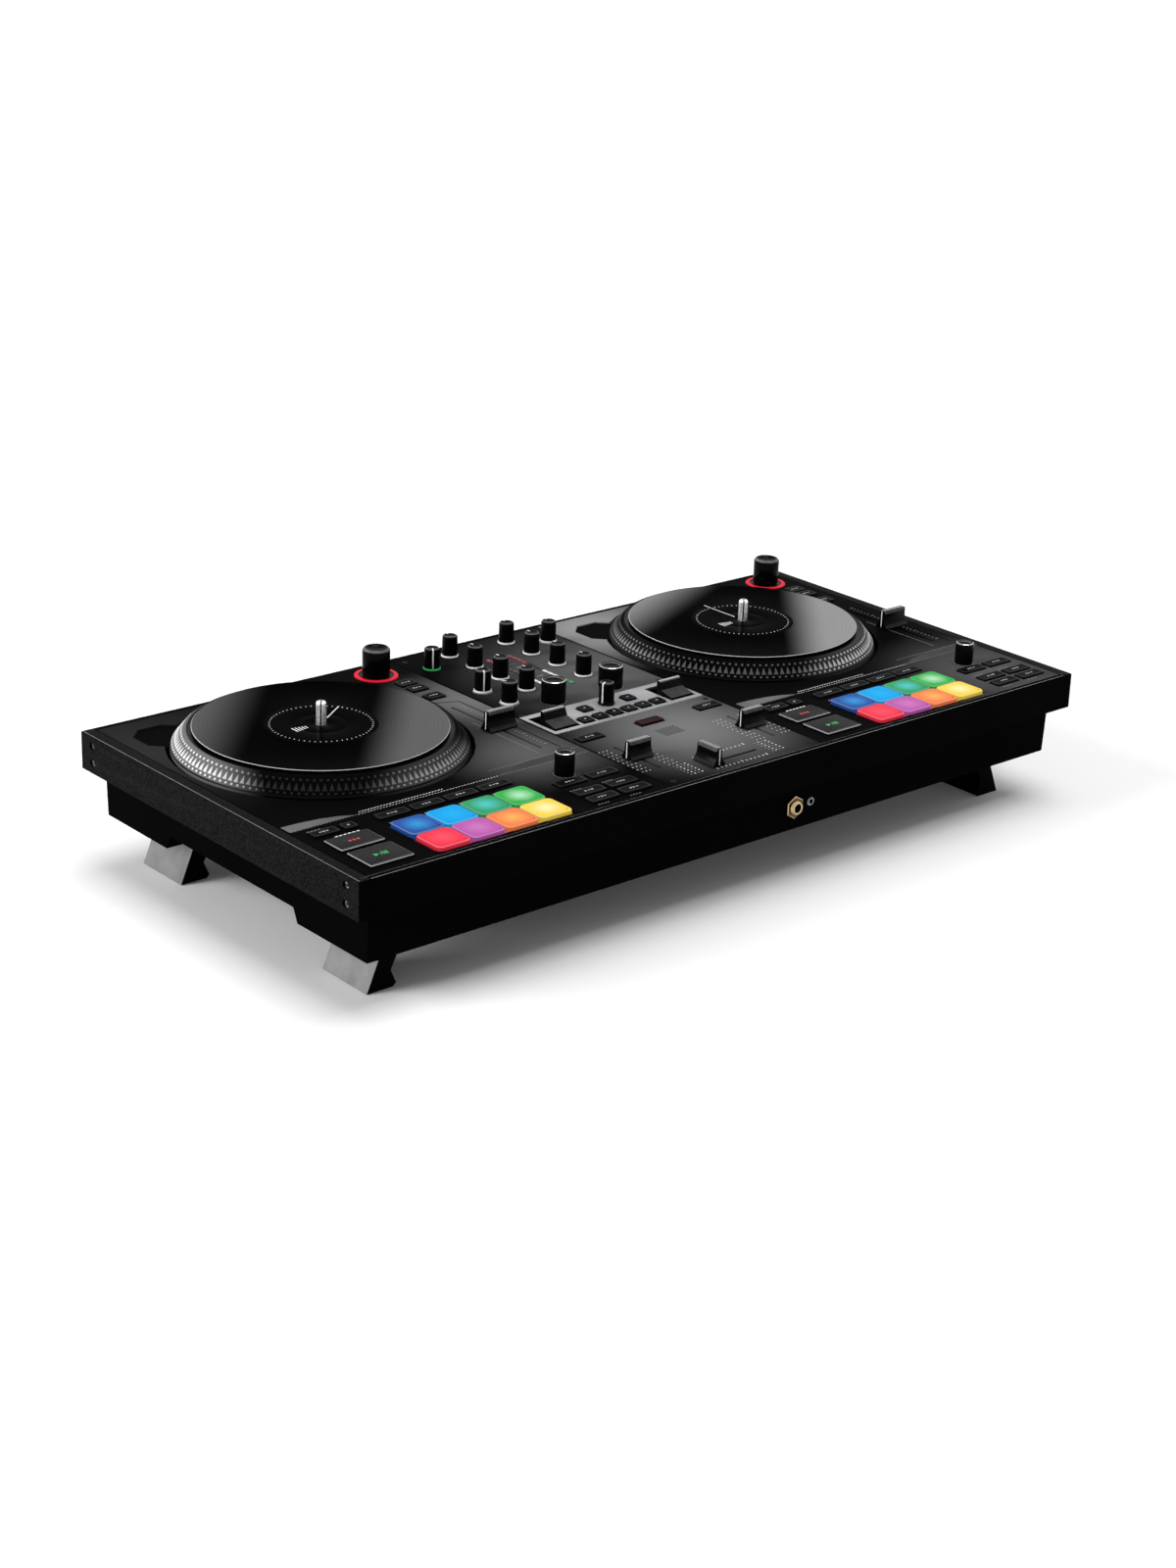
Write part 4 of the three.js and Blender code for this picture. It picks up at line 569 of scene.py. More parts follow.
for side, shift in DECKS:
    cx = PLATTER_X + shift
    axis = at(cx, PLATTER_Y, 0)
    disc_tone, slope_tone, dot_base, dot_tone = TONES[side]
    # painted highlights on the slope and the record, laid into their base colour
    turned_metal = grooved(f"platter_turned_{side}", (0.0018, 0.0018, 0.002), 0.4, axis, 0.0004,
                           0.00003, 0.003, 500, slope_tone, 0.6, 0.95, SLOPE_LOBES[side])
    vinyl = grooved(f"record_vinyl_{side}", (0.0009, 0.0009, 0.001), 0.26, axis, 0.0005, 0.00004,
                    0.0004, 700, disc_tone, 0.45, 1.0, DISC_LOBES[side])
    bm = bmesh.new()
    profile = [(0, -12.0), (19.6, -12.0), (19.8, -3.0), (103.2, -2.9), (103.5, -2.4), (103.5, 0.3),
               (103.3, 0.9), SLOPE_OUT, SLOPE_IN, (93.4, 12.28), (92.2, 12.3), (91.6, 12.2),
               (91.2, 11.8), (40, 11.9), (0, 11.9)]
    turn(bm, profile, cx, PLATTER_Y, 160, [0, 0, 0, 0, 0, 2, 2, 0, 0, 0, 2, 2, 2, 2])
    finished(f"platter_disc_{side}", bm, [turned_metal, chrome, knob_black], f"platter_{side}",
             (f"platter_{side}",), smooth=30)
    bm = bmesh.new()
    count = 132
    # each row: its low and high edge on the slope, how wide its marks are, their start and taper
    for low, high, wide, start, taper in ((0.08, 0.19, 0.4, 0.0, 0.8), (0.27, 0.68, 0.74, 0.5, 0.04),
                                          (0.76, 0.88, 0.4, 0.0, 0.8)):
        half = math.pi / count * wide
        for i in range(count):
            middle = 2 * math.pi * (i + start) / count
            corners = [(middle - half, low), (middle + half, low),
                       (middle + half * taper, high), (middle - half * taper, high)]
            inner = [(middle + (a - middle) * 0.8, low + (s - low) * 0.86 + (high - low) * 0.07)
                     for a, s in corners]
            loft(bm, [[on_slope(a, s, cx, lift) for a, s in points]
                      for points, lift in ((corners, 0.02), (inner, 0.3))], 0, 0)
    # the strobe dots, with the same painted highlight as the slope
    dots = grooved(f"strobe_paint_{side}", (dot_base,) * 3, 0.5, axis, 0.0006, 0.00002, 0.03, 500,
                   dot_tone, 0.6, 0.95, SLOPE_LOBES[side])
    finished(f"strobe_dots_{side}", bm, [dots], f"platter_{side}", smooth=20)

    bm = bmesh.new()
    profile = [(3.9, 12.62), (88.4, 12.62), (88.9, 12.9), (88.9, 14.1), (88.5, 14.5), (87.6, 14.56),
               (86.6, 14.35), (41.0, 14.35), (40.2, 14.5), (39.6, 14.58), (18.4, 14.58),
               (18.0, 14.5), (17.6, 14.58), (4.3, 14.58), (3.9, 14.4), (3.9, 12.62)]
    turn(bm, profile, cx, PLATTER_Y, 160, [1, 1, 1, 2, 0, 0, 0, 0, 0, 1, 1, 1, 1, 1, 1])
    finished(f"record_disc_{side}", bm, [vinyl, label_black, highlight_grey], f"record_{side}",
             (f"record_{side}",))
    bm = bmesh.new()
    for i in range(60):
        near, far = (on_circle(cx, PLATTER_Y, r, math.pi * i / 30) for r in (35.1, 36.3))
        stroke(bm, near, far, 0.55, LABEL_MARK_Z)
    ux, uy, near, far = (0.819, 0.574, 12, 37) if side == "left" else (0.0, 1.0, 9, 44)
    stroke(bm, (cx + near * ux, PLATTER_Y + near * uy), (cx + far * ux, PLATTER_Y + far * uy), 0.8,
           LABEL_MARK_Z)
    for k in range(5):
        x, half = cx - 22 + k * 2.4, 4 - k * 0.5
        stroke(bm, (x, PLATTER_Y - half), (x, PLATTER_Y + half), 0.9, LABEL_MARK_Z)
    finished(f"record_marks_{side}", bm, [print_white], f"record_{side}")

    bm = bmesh.new()
    turn(bm, [(0, -46.5), (3.6, -46.5), (3.6, 29.0), (3.45, 29.9), (2.9, 30.8), (1.8, 31.35),
              (0, SPINDLE_TOP)], cx, PLATTER_Y, 48)
    finished(f"spindle_pin_{side}", bm, [spindle_look(side, cx)], f"platter_{side}",
             (f"spindle_{side}",))

# -------- rotary controls

SHAFT_END = -6.5  # the lower end of every knob's shaft


def pointer(bm, cx, cy, degrees, radius, z1, look):
    """A line over a knob's top edge and down its side. degrees is clockwise from the back."""
    angle = math.radians(90 - degrees)
    ux, uy = math.cos(angle), math.sin(angle)
    vx, vy = -uy * 0.55, ux * 0.55
    path = [(radius + 0.12, 2.2), (radius + 0.12, z1 - 0.8), (radius - 0.3, z1 - 0.1),
            (radius - 1.2, z1 + 0.1), (radius - 3.6, z1 + 0.1)]
    a, b = [[bm.verts.new(at(cx + ux * r + s * vx, cy + uy * r + s * vy, z)) for r, z in path]
            for s in (-1, 1)]
    for k in range(len(path) - 1):
        bm.faces.new((a[k], b[k], b[k + 1], a[k + 1])).material_index = look


def small_knob(name, cx, cy, radius=6.0, ring=1, needle=0):
    """A fluted knob with a ring round its foot and a white pointer."""
    r, h = radius, 17.1

    def fluted(angle, radius, z):
        if z < h * 0.6 or radius < 4.6:
            return radius
        return radius - 0.28 * (0.5 + 0.5 * math.cos(18 * angle))

    bm = bmesh.new()
    profile = [(3.0, SHAFT_END), (3.0, 0.5), (r + 0.6, 0.5), (r + 0.6, 1.5), (r + 0.35, 1.75),
               (r + 0.05, 1.8), (r, 2.1), (r - 0.05, h * 0.5), (r - 0.12, h * 0.72),
               (r - 0.15, h - 2.4), (r - 0.2, h - 1.2), (r - 0.55, h - 0.45), (r - 1.1, h - 0.12),
               (r - 1.5, h - 0.05), (r - 2.0, h - 0.5), (0, h - 0.75)]
    turn(bm, profile, cx, cy, 72, [0, 0, ring, ring, ring, 0, 0, 0, 0, 0, 0, 3, 3, 4, 0], fluted)
    pointer(bm, cx, cy, needle, r, h, 1)
    finished(name + "_cap", bm, [knob_black, print_white, light_green, knob_edge, knob_grip], name,
             (name,), smooth=50)


def ring_knob(name, cx, cy, radius, height):
    """A plain black barrel with a bright metal ring on its top."""
    bm = bmesh.new()
    r, h = radius, height
    profile = [(3.0, SHAFT_END), (3.0, 0.5), (r - 0.1, 0.5), (r, 0.9), (r, h - 2.4),
               (r - 0.05, h - 2.2), (r - 0.1, h - 1.0), (r - 0.4, h - 0.4), (r - 0.9, h - 0.05),
               (r - 1.5, h), (r - 2.1, h - 0.3), (r - 2.5, h - 1.2), (r - 3.2, h - 1.7), (0, h - 1.9)]
    turn(bm, profile, cx, cy, 72, [0, 0, 0, 0, 0, 0, 3, 2, 3, 3, 1, 3, 3])
    finished(name + "_cap", bm, [knob_black, knob_edge, chrome, knob_gloss], name, (name,),
             smooth=50)


for side, x in MIXER_COLUMNS:
    for row, y in enumerate(MIXER_ROWS):
        small_knob(f"channel_knob_{side}_{row + 1}", x, y)
    ring_knob(f"filter_knob_{side}", x, FILTER_Y, 9.1, 16.9)
small_knob("outer_knob_front", 278.4, 196.9, needle=-50)
small_knob("outer_knob_middle", 278.4, 227.8, needle=-150)
small_knob("outer_knob_back", 278.4, 288.5, ring=2, needle=-150)
small_knob("outer_knob_right", 391.5, 288.5)
small_knob("effect_knob", 335, 155, 5.7, ring=0, needle=-108)

for side, shift in DECKS:
    ring_knob(f"loop_knob_{side}", LOOP_X + shift, LOOP_Y, 7.0, 16.7)
    cx, cy, r, h = 236.5 + shift, 301.5, 10.4, 21.7
    bm = bmesh.new()
    profile = [(3.3, SHAFT_END), (3.3, 0.9), (r - 0.5, 0.9), (r - 0.1, 1.3), (r, 2.0),
               (r, h - 1.75), (r - 0.15, h - 1.5), (r - 1.35, h - 0.15), (r - 1.7, h),
               (r - 2.3, h - 0.05), (r - 2.9, h - 0.5), (r - 3.6, h - 1.5), (0, h - 2.2)]
    turn(bm, profile, cx, cy, 96, [0, 0, 0, 0, 0, 0, 1, 1, 0, 0, 0, 0])
    finished(f"browse_knob_{side}_cap", bm, [knob_gloss, upper_edge_highlight], f"browse_knob_{side}",
             (f"browse_knob_{side}",), smooth=50)
    bm = bmesh.new()
    turn(bm, [(3.7, -2.1), (16.2, -2.1), (16.4, 0.1), (16.1, 0.45), (15.4, 0.5), (13.3, 0.5),
              (12.9, 0.1), (3.7, 0.1), (3.7, -2.1)], cx, cy, 96, [1, 0, 0, 0, 0, 1, 1, 1])
    finished(f"light_ring_{side}_glow", bm, [light_red, knob_black], "base",
             (f"light_ring_{side}",))

# -------- sliding controls


def fader(name, cx, cy, length, height, ridge_along_x):
    """A cap with a flared foot, drawn-in sides, a ribbed top and a white pointer on its ends."""
    base, waist, crest = 6.0, 2.5, 2.2
    z0, z1 = 0.9, 0.9 + height
    half = length / 2

    def spot(along, across, z):
        return (cx + along, cy + across, z) if ridge_along_x else (cx + across, cy + along, z)

    section = [(base, z0), (base, z0 + 0.7), (base - 0.35, z0 + 1.0), (4.3, z0 + height * 0.2),
               (3.1, z0 + height * 0.34), (waist, z0 + height * 0.52), (2.35, z0 + height * 0.7),
               (2.3, z1 - 1.4), (crest, z1 - 0.9), (crest - 0.35, z1 - 0.5)]
    section += [(-w, z) for w, z in reversed(section)]
    rings = []
    for along, inset in ((-half, 0.5), (-half + 0.5, 0.0), (half - 0.5, 0.0), (half, 0.5)):
        rings.append([spot(along, math.copysign(max(0.2, abs(w) - inset * 0.5), w),
                           min(z, z1 - 0.5 - inset * 0.4)) for w, z in section])
    # the feet and the upper sides take painted highlights
    foot_sides, highlight_sides = (0, 1, 2, 16, 17, 18), (7, 11)
    sides = [3 if i in foot_sides else 4 if i in highlight_sides else 0 for i in range(len(section))]
    bm = bmesh.new()
    loft(bm, rings, 0, 0, 0, sides)
    ribs = 10
    for i in range(ribs):
        middle = -half + 1.0 + (length - 2.0) * (i + 0.5) / ribs
        w = (length - 2.0) / ribs * 0.34
        low = square(middle - w, -crest - 0.3, middle + w, crest + 0.3, z1 - 2.6)
        high = square(middle - w * 0.7, -crest * 0.9, middle + w * 0.7, crest * 0.9, z1)
        loft(bm, [[spot(*p) for p in ring] for ring in (low, high)], 4, 1)
    for end in (-half - 0.04, half + 0.04):
        corners = ((-0.45, z0 + 0.8), (0.45, z0 + 0.8), (0.45, z1 - 0.5), (-0.45, z1 - 0.5))
        face = bm.faces.new([bm.verts.new(at(*spot(end, a, z))) for a, z in corners])
        face.material_index = 2
    loft(bm, [[spot(*p) for p in square(-3, -0.8, 3, 0.8, z)] for z in (-6.4, z0)], 0, 0, 0)
    finished(name + "_cap", bm, [knob_black, highlight_grey, print_white, fader_foot, upper_edge_highlight], name,
             (name,), smooth=40)


for side, x in CHANNEL_FADERS:
    fader(f"channel_fader_{side}", x, 60, 20.5, 13, True)
fader("crossfader", 314, 23, 20.5, 13, False)
for side, shift in DECKS:
    fader(f"pitch_fader_{side}", 239.2 + shift, 160, 24.5, 14.4, True)

# -------- keys and pads

KEY_TOP, KEY_EDGE, KEY_DISH, LEGEND_Z = 1.6, 0.55, 0.12, 1.55
WEB_LOW, WEB_HIGH = -6.0, -4.2  # the web under the plates that joins the keys of one mat
GLYPH_Z = 1.66
PAD_WIDTH, PAD_DEPTH, PAD_FOOT = 26.8, 26.3, -4.4
PAD_X, PAD_Y, PAD_PITCH_X, PAD_PITCH_Y = 68.9, 8.8, 28.2, 27.2


def legend(bm, x, y, width, depth, look, seed):
    """A short row of plain ticks and dots on a key's face."""
    marks = 1 if width < 12 else 3
    middle_x, middle_y = x + width / 2, y + depth / 2
    for k in range(marks):
        left = middle_x + (k - marks / 2) * 2.8
        kind = (seed + k) % 3
        if kind == 0:
            mark(bm, ((left + 0.3, middle_y - 1), (left + 2.1, middle_y), (left + 0.3, middle_y + 1)),
                 LEGEND_Z, look)
        elif kind == 1:
            bar(bm, left, middle_y - 0.35, left + 2.1, middle_y + 0.35, LEGEND_Z, look)
        else:
            for tick in (0.2, 1.3):
                bar(bm, left + tick, middle_y - 0.9, left + tick + 0.6, middle_y + 0.9, LEGEND_Z, look)


def pad_corner(index, shift):
    """The front left corner of a pad; pads 0 to 3 are the front row."""
    return PAD_X + PAD_PITCH_X * (index % 4) + shift, PAD_Y + PAD_PITCH_Y * (index // 4)


for side, shift in DECKS:
    body = f"deck_keys_{side}"
    bm = bmesh.new()
    areas = [(18.4, 71.2, 20, 9), (42.3, 71.2, 10.3, 9)]
    areas += [(69.5 + PAD_PITCH_X * k, 71.2, 25.4, 9) for k in range(4)]
    areas += [(x, y, 24.2, 9.8) for y in (12.4, 25.9, 45.7) for x in (199.9, 228.1)]
    areas += [(235.2, y, 14.6, 10.8) for y in (233.8, 253.8, 267.4)]
    for index, (x, y, w, d) in enumerate(areas):
        key(bm, x + shift, y, w, d, WEB_HIGH, KEY_TOP, 1.6, KEY_EDGE, 0, 3, 1, KEY_DISH)
        legend(bm, x + shift, y, w, d, 2, index + 1)
    for x0, y0, x1, y1 in ((19.6, 72.4, 196, 79), (190, 14, 197, 79), (190, 14, 251, 21),
                           (190, 27, 251, 34), (190, 47, 251, 54), (251.5, 14, 257, 277),
                           (236, 235, 252, 276)):
        slab(bm, x0 + shift, y0, x1 + shift, y1, WEB_LOW, WEB_HIGH - 0.1, 0)
    finished(body + "_set", bm, [key_black, key_top, legend_grey, key_rim], body, (body,))

    for name, y, d, glyph in ((f"cue_button_{side}", 43.2, 20.3, glyph_red),
                              (f"play_button_{side}", 12.5, 26.3, glyph_green)):
        bm = bmesh.new()
        x = 18.7 + shift
        key(bm, x, y, 34, d, -4.4, KEY_TOP, 1.2, KEY_EDGE, 0, 2, 1)
        key(bm, x - 1.2, y - 1.2, 36.4, d + 2.4, -6.0, -4.5, 1.2, 0.3, 0, 0, 0)
        bar(bm, x + 1.4, y + 1.5, x + 32.6, y + 1.7, 1.63, 4)
        mx, my = x + 17, y + d / 2
        if glyph is glyph_red:
            for k in range(3):
                bar(bm, mx - 4.5 + k * 3.2, my - 1.1, mx - 2.5 + k * 3.2, my + 1.1, GLYPH_Z, 3)
        else:
            mark(bm, ((mx - 5, my - 2), (mx - 1.4, my), (mx - 5, my + 2)), GLYPH_Z, 3)
            for k in range(2):
                bar(bm, mx + 1.6 + k * 2.2, my - 2, mx + 2.8 + k * 2.2, my + 2, GLYPH_Z, 3)
            stroke(bm, (mx - 0.5, my - 2.2), (mx + 0.9, my + 2.2), 0.5, GLYPH_Z, 3)
        finished(name + "_cap", bm, [key_black, cue_top, edge_silver, glyph, dim_print_and_highlight], name,
                 (name,))

    bm = bmesh.new()
    uv = bm.loops.layers.uv.new("UVMap")
    slab(bm, 69 + shift, 9, 180 + shift, 62, -6.0, PAD_FOOT, 8, 1, 2)
    for index in range(8):
        x, y = pad_corner(index, shift)
        before = set(bm.faces)
        rings = [outline(x + inset, y + inset, x + PAD_WIDTH - inset, y + PAD_DEPTH - inset,
                         max(0.6, 4.0 - inset * 0.3), z, 5)
                 for inset, z in ((0.0, PAD_FOOT), (0.0, 1.5), (0.18, 2.05), (0.5, 2.38), (1.0, 2.5),
                                  (5.0, 2.5), (9.0, 2.5))]
        loft(bm, rings, index, index, index)
        for face in set(bm.faces) - before:
            for loop in face.loops:
                p = loop.vert.co / MM
                loop[uv].uv = ((p.x + BODY_WIDTH / 2 - x) / PAD_WIDTH,
                               (p.y + BODY_DEPTH / 2 - y) / PAD_DEPTH)
        dot(bm, x + 23.4, y + 3.4, 0.6, 2.53, 9, 10)
    # painted light that the pads throw on the plate: glowing bars in front of the front row and left of
    # both rows
    spill = bmesh.new()
    for index in range(8):
        x, y = pad_corner(index, shift)
        if index < 4:
            bar(spill, x + 2.5, y - 1.7, x + 24.3, y - 0.35, 0.05, index)
        if index % 4 == 0:
            bar(spill, x - 1.7, y + 2.5, x - 0.35, y + 23.8, 0.05, index)
    finished(f"pad_spill_{side}_painted_glow", spill, pad_spills, "base", recalc=False)
    finished(f"pad_mat_{side}_set", bm, [*pad_looks, key_black, dark_print_and_shade], f"pad_mat_{side}",
             (f"pad_mat_{side}",), smooth=60)

bm = bmesh.new()
mixer_areas = [(294.8 + 13.7 * k, 132.2, 10.4, 9.8) for k in range(6)]
mixer_areas += [(309.4, 149.7, 10, 10), (350.6, 149.7, 10, 10)]
for index, (x, y, w, d) in enumerate(mixer_areas):
    key(bm, x, y, w, d, WEB_HIGH, KEY_TOP, 1.8, KEY_EDGE, 0, 4, 1, KEY_DISH)
    legend(bm, x, y, w, d, 2, index)
for k, (side_look, rim_look, top_look) in enumerate(((0, 4, 1), (3, 3, 3), (0, 4, 1))):
    area = (267.8 + 56.2 * k, 103.6, 22, 9.2)
    key(bm, *area, WEB_HIGH, KEY_TOP, 1.6, KEY_EDGE, side_look, rim_look, top_look, KEY_DISH)
    if k != 1:
        legend(bm, *area, 2, k)
for x0, y0, x1, y1 in ((269, 105, 401, 112), (318, 105, 352, 158), (296, 134, 372, 141),
                       (311, 151, 359, 158)):
    slab(bm, x0, y0, x1, y1, WEB_LOW, WEB_HIGH - 0.1, 0)
finished("mixer_keys_set", bm, [key_black, key_top, legend_grey, key_red, key_rim], "mixer_keys",
         ("mixer_keys",))

# -------- level meter

LAMPS = [1] * 2 + [0] * 4 + [3] * 3 + [2] * 4  # the finishes of one strip, from the front
bm = bmesh.new()
for x in (325.1, 344.9):
    step = 78.0 / len(LAMPS)
    for i, look in enumerate(LAMPS):
        key(bm, x - 1.5, 203 + i * step + 0.35, 3, step - 0.7, -2.4, 0.2, 0.4, 0.1, 3, look, look)
slab(bm, 323.6, 203, 346.4, 281, -4.6, -2.6, 3)
finished("level_meter_lights", bm, [light_white, light_green, red_frame, meter_dark], "base",
         ("level_meter",))

# -------- headphone sockets


def facing_front(z, x, y):
    """Places what turns round an axis that runs from front to back."""
    return at(x, y, z)


bm = bmesh.new()
big_x, small_x, socket_z = 385.8, 403.2, -45.0
wall = 9.2 + (socket_z + 27.6) / (-63 + 27.6) * 1.4  # the tray's sloping front at that height
nut = [(8.0, wall - 0.3), (8.55, wall - 0.9), (8.55, wall - 2.3), (7.9, wall - 2.7),
       (4.9, wall - 2.8)]
turn(bm, nut, socket_z, big_x, 6, [0, 0, 0, 3], place=facing_front)
collar = [(4.9, wall - 2.6)]
y = wall - 2.8
while y > wall - 5.2:
    collar += [(4.78, y), (4.55, y - 0.2)]
    y -= 0.45
collar += [(4.4, wall - 5.4), (3.6, wall - 5.4), (3.25, wall - 5.1), (3.25, wall + 14),
           (0.01, wall + 14)]
turn(bm, collar, socket_z, big_x, 48, [0] * (len(collar) - 3) + [1, 1], place=facing_front)
turn(bm, [(3.1, wall + 2), (3.1, wall - 0.6), (2.8, wall - 0.9), (2.2, wall - 0.95), (1.8, wall - 0.7),
          (1.8, wall + 9), (0.01, wall + 9)], socket_z, small_x, 40, [2, 2, 2, 2, 1, 1],
     place=facing_front)
finished("headphone_sockets_front", bm, [brass_metal, hole_black, ring_grey, brass_dark], "base",
         ("headphone_sockets",), smooth=30)

# -------- printed lines, ticks and dots

bm = bmesh.new()
Z = 0.06
WHITE, DIM, STRIP, BAND, DARK, LIGHT = range(6)
MARK_LOOKS = [print_white, dim_print_and_highlight, strip_grey, band_light, dark_print_and_shade, strip_light]


def ticks(x, y, count, pitch, width, depth, look):
    for k in range(count):
        bar(bm, x + k * pitch, y, x + k * pitch + width, y + depth, Z, look)


def dial(x, y, start, count, radius):
    """Dots every 30 degrees round a knob."""
    for k in range(count):
        dot(bm, *on_circle(x, y, 10, math.radians(start + 30 * k)), radius, Z, DIM, 6)


# painted highlights: light lines along the plates' front top edge, behind the front lip and along the
# cheeks' top edges
bar(bm, 9.5, 0.1, 661.5, 0.6, 0.04, DIM)
bar(bm, 4.6, 4.3, 666.4, 4.45, 0.05, DIM)
for x in (0.9, 669.6):
    bar(bm, x, 0.9, x + 0.5, 323.8, 0.03, DIM)
# light band over the mixer, with windows left dark for the paddles
for x0, y0, x1, y1 in ((291.3, 128.0, 378.7, 168.5), (264.2, 128.0, 291.3, 132.2),
                       (264.2, 162.6, 291.3, 168.5), (378.7, 128.0, 405.8, 132.2),
                       (378.7, 162.6, 405.8, 168.5), (264.2, 132.2, 267.7, 162.6),
                       (402.3, 132.2, 405.8, 162.6)):
    bar(bm, x0, y0, x1, y1, Z - 0.02, BAND)
for x, y, w, d in mixer_areas:
    bar(bm, x - 0.5, y - 0.5, x + w + 0.5, y + d + 0.5, Z - 0.01, DARK)
ticks(266, 127.2, 60, 2.3, 1.2, 0.3, WHITE)
# meter scale between the strips
for k in range(10):
    bar(bm, 332, 206 + k * 8, 338, 206.3 + k * 8, Z, WHITE if k % 3 == 0 else DIM)
# knob surrounds
for side, x in MIXER_COLUMNS:
    for y in MIXER_ROWS:
        dial(x, y, -60, 11, 0.28)
    ring_mark(bm, x, FILTER_Y, 9.5, 9.8, Z, DIM, 40)
for x, y in ((278.4, 196.9), (278.4, 227.8), (391.5, 288.5)):
    ring_mark(bm, x, y, 6.9, 7.1, Z, WHITE, 40)
# channel faders: three columns of ticks on both sides of the slot
for side, x in CHANNEL_FADERS:
    for offset in (-15.8, -12.3, -8.8, 8.8, 12.3, 15.8):
        for k in range(10):
            bar(bm, x + offset - 0.5, 36.65 + k * 5, x + offset + 0.5, 37.35 + k * 5, Z, WHITE)
# crossfader scale
for k in range(13):
    x = 312 + k * 3.9
    for y in (11.0, 35.0):
        bar(bm, x - 0.35, y, x + 0.35, y + (2.8 if k % 6 == 0 else 1.8), Z, WHITE)
for x in (289, 366):
    for k in range(6):
        for start, look in ((0, DIM), (3.4, WHITE)):
            ticks(x + start, 14 + k * 3.6, 2, 6.8, 1.4, 0.9, look)
# dot grid
for i in range(8):
    for j in range(6):
        dot(bm, 327 + i * 2.3, 80.5 + j * 2.3, 0.9, Z, DARK, 4)
# painted shade: dark bars in the seams along the plates' edges
for name in ("deck_plate_left", "mixer_plate", "deck_plate_right"):
    low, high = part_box(name)
    left, right = (limit[0] / MM + BODY_WIDTH / 2 for limit in (low, high))
    for x in (left, right - 0.85):
        bar(bm, x, 0.8, x + 0.85, 323.8, 0.045, DARK)
for side, shift in DECKS:
    # lighter strips with dotted edges in front of the platter, and painted shade that fills the hollow
    # at its back left
    for z, look, points in (
            (Z - 0.03, LIGHT, ((11, 89.4), (62, 89.4), (52, 94), (40, 97.3), (26, 99.2), (11, 99.8))),
            (Z - 0.03, STRIP, ((182, 89.4), (261.5, 89.4), (261.5, 99.2), (218, 99.2), (202, 97),
                               (191, 94))),
            (-0.86, DARK, ((33, 264.3), (52, 264.3), (62.2, 274), (62.2, 294), (52, 303.7),
                           (33, 303.7), (22.8, 294), (22.8, 274)))):
        mark(bm, [(x + shift, y) for x, y in points], z, look)
    for x, *row in ((12, 88.6, 21, 2.5, 1.3, 0.5, DIM), (64.5, 88.6, 47, 2.5, 1.3, 0.5, WHITE),
                    (182, 88.6, 32, 2.5, 1.3, 0.5, DIM), (182, 99.6, 32, 2.5, 1.3, 0.5, DIM),
                    (67, 91.6, 28, 2.5, 1.5, 0.7, WHITE),
                    # captions over the keys and the cue button
                    (202, 9.4, 4, 2.6, 1.7, 0.6, DIM), (202, 38.4, 4, 2.6, 1.7, 0.6, DIM),
                    (230, 9.4, 4, 2.6, 1.7, 0.6, DIM), (230, 38.4, 4, 2.6, 1.7, 0.6, DIM),
                    (20, 83.0, 4, 2.8, 1.9, 0.7, DIM), (30, 66.2, 6, 3.4, 2.4, 1.0, WHITE)):
        ticks(x + shift, *row)
    for column in range(4):
        ticks(72 + column * PAD_PITCH_X + shift, 64.4, 5, 2.4, 1.9, 1.1, DIM)
    # pitch fader: ticks and the lines round its column
    for k in range(25):
        y = 118 + k * 3.9
        bar(bm, 245.2 + shift, y, (248.4 if k % 6 == 0 else 247.2) + shift, y + 0.5, Z, DIM)
    for x0, y0, x1, y1, width, look in (
            (251, 107, 251, 221, 1.0, DARK), (251, 221, 234, 228, 1.0, DARK),
            (231, 107, 231, 180, 0.35, DIM)):
        stroke(bm, (x0 + shift, y0), (x1 + shift, y1), width, Z, look)
    ring_mark(bm, LOOP_X + shift, LOOP_Y, 7.4, 7.7, Z, DIM, 36)
    dial(LOOP_X + shift, LOOP_Y, -30, 9, 0.3)
marks = finished("printed_marks", bm, MARK_LOOKS, "base", recalc=False)
for face in marks.data.polygons:
    if face.normal.z < 0:
        face.flip()

# -------- stage, light and camera

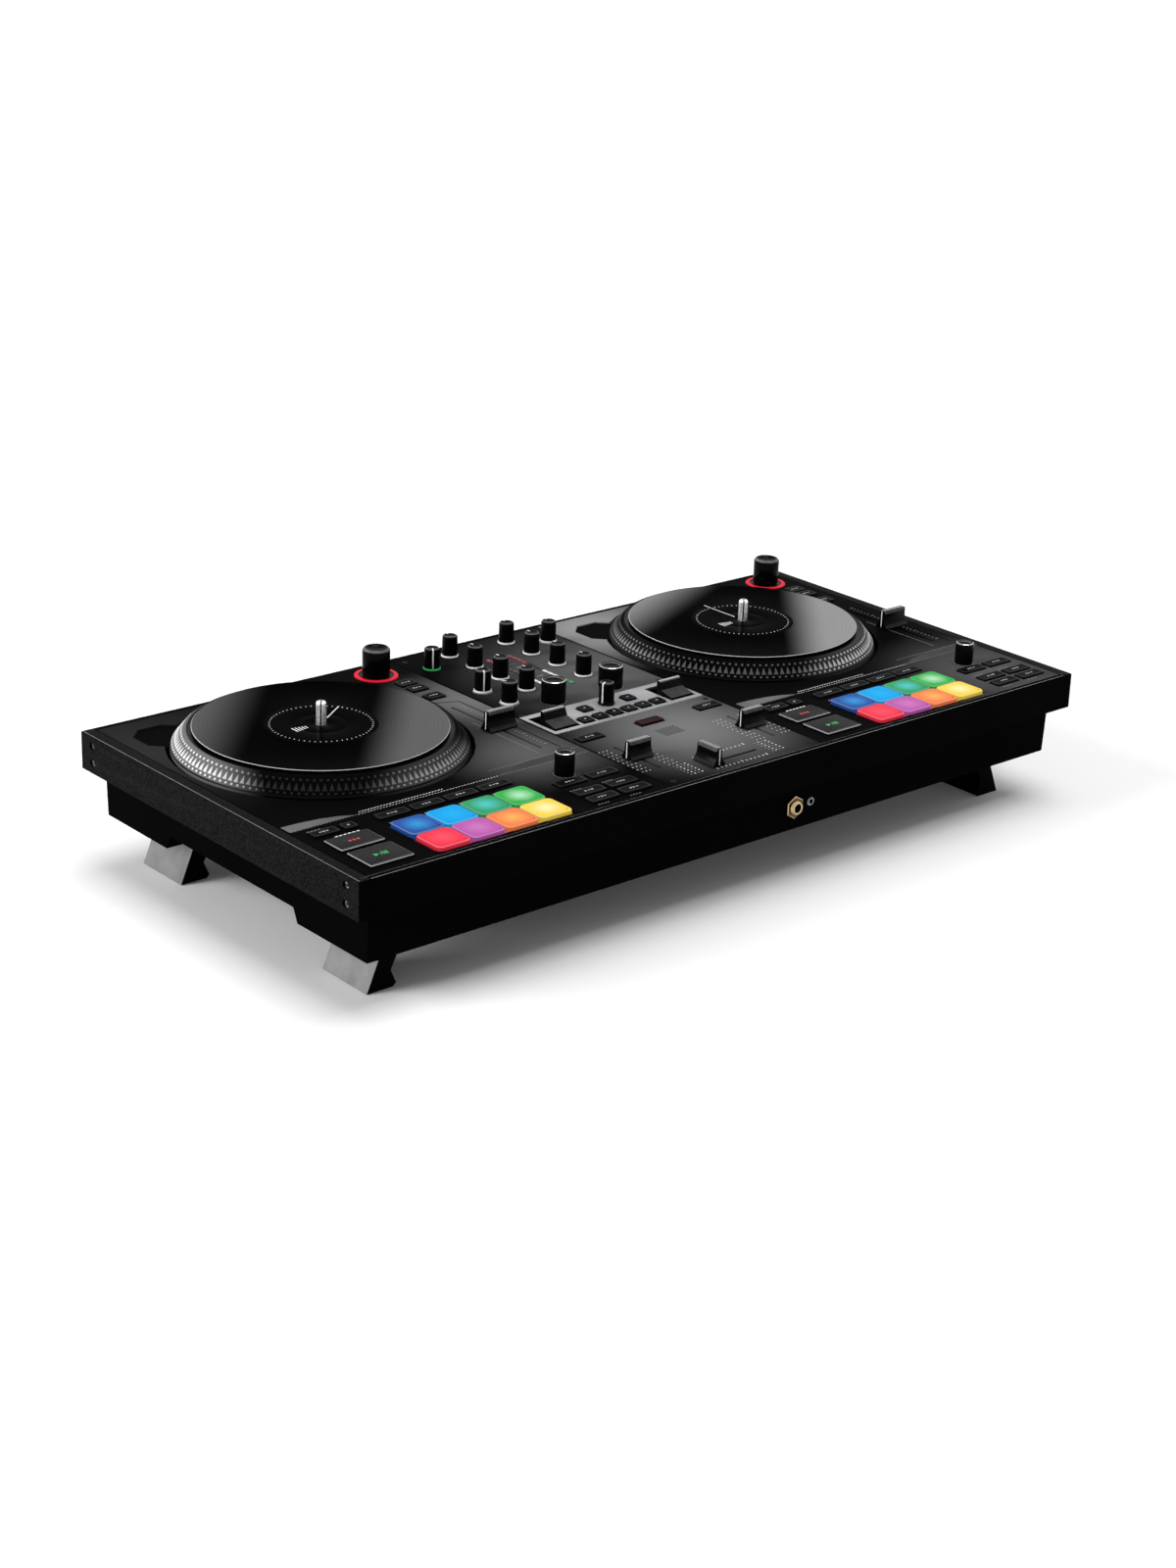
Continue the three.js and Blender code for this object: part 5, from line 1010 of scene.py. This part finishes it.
floor_look, tree, coords = started("floor_pale")
shade = spread(tree, noise(tree, coords["Object"], 3.0), 0, 1)
pale = mixed(tree, shade, (0.97, 0.97, 0.97), (0.99, 0.99, 0.99))
diffuse = node(tree, "BsdfDiffuse", {"Color": pale})
glow = node(tree, "Emission", {"Color": (1, 1, 1, 1),
                               "Strength": number(tree, "MULTIPLY", white_rays(tree), 0.03)})
both = node(tree, "AddShader", {0: diffuse.outputs["BSDF"], 1: glow.outputs["Emission"]})
node(tree, "OutputMaterial", {"Surface": both.outputs["Shader"]})
bm = bmesh.new()
bmesh.ops.create_grid(bm, x_segments=4, y_segments=4, size=40)
floor = meshed("floor", bm, [floor_look])
floor.location.z = -0.0002

# The world lights the object at 0.28 and shows as white.
world = bpy.data.worlds.new("studio")
bpy.context.scene.world = world
tree = new_tree(world)
strength = node(tree, "MapRange", {"Value": white_rays(tree), "To Min": 0.28, "To Max": 1.0})
back = node(tree, "Background", {"Color": (1, 1, 1, 1), "Strength": strength.outputs["Result"]})
node(tree, "OutputWorld", {"Surface": back.outputs["Background"]})


def lamp(name, kind, place, target, energy, size):
    """A lamp that points at target; size is the sun's angle or the side of a square area."""
    data = bpy.data.lights.new(name, kind)
    data.energy = energy
    if kind == "AREA":
        data.shape = "RECTANGLE"
        data.size, data.size_y = size, size
    else:
        data.angle = size
    item = linked(name, data)
    item.location = place
    item.rotation_euler = (Vector(target) - Vector(place)).to_track_quat("-Z", "Y").to_euler()


lamp("sky_soft", "SUN", (0.3, -0.2, 2.6), (0, 0, 0), 1.95, 0.7)
lamp("side_left", "SUN", (-2.2, 0.9, 1.3), (0, 0, 0.1), 2.3, 0.5)
lamp("side_right", "AREA", (2.0, -0.6, 1.2), (0, 0, 0.1), 4, 1.2)

# The camera's place, direction and lens come from the fit to the photograph.
camera_data = bpy.data.cameras.new("camera")
camera = linked("camera", camera_data)
forward = Vector((0.62141615, 0.69511417, -0.36146682)).normalized()
up = Vector((0.21242361, 0.29459856, 0.93171235)).normalized()
right = forward.cross(up).normalized()
up = right.cross(forward).normalized()
turned = Matrix((right, up, -forward)).transposed().to_4x4()
camera.matrix_world = Matrix.Translation((-1.250410, -1.409065, 0.775910)) @ turned
camera_data.lens = 63.137
camera_data.sensor_width = 36
camera_data.shift_x = -0.01208
camera_data.shift_y = -0.0084
camera_data.clip_end = 100
bpy.context.scene.camera = camera

bpy.context.scene.view_settings.view_transform = "Standard"
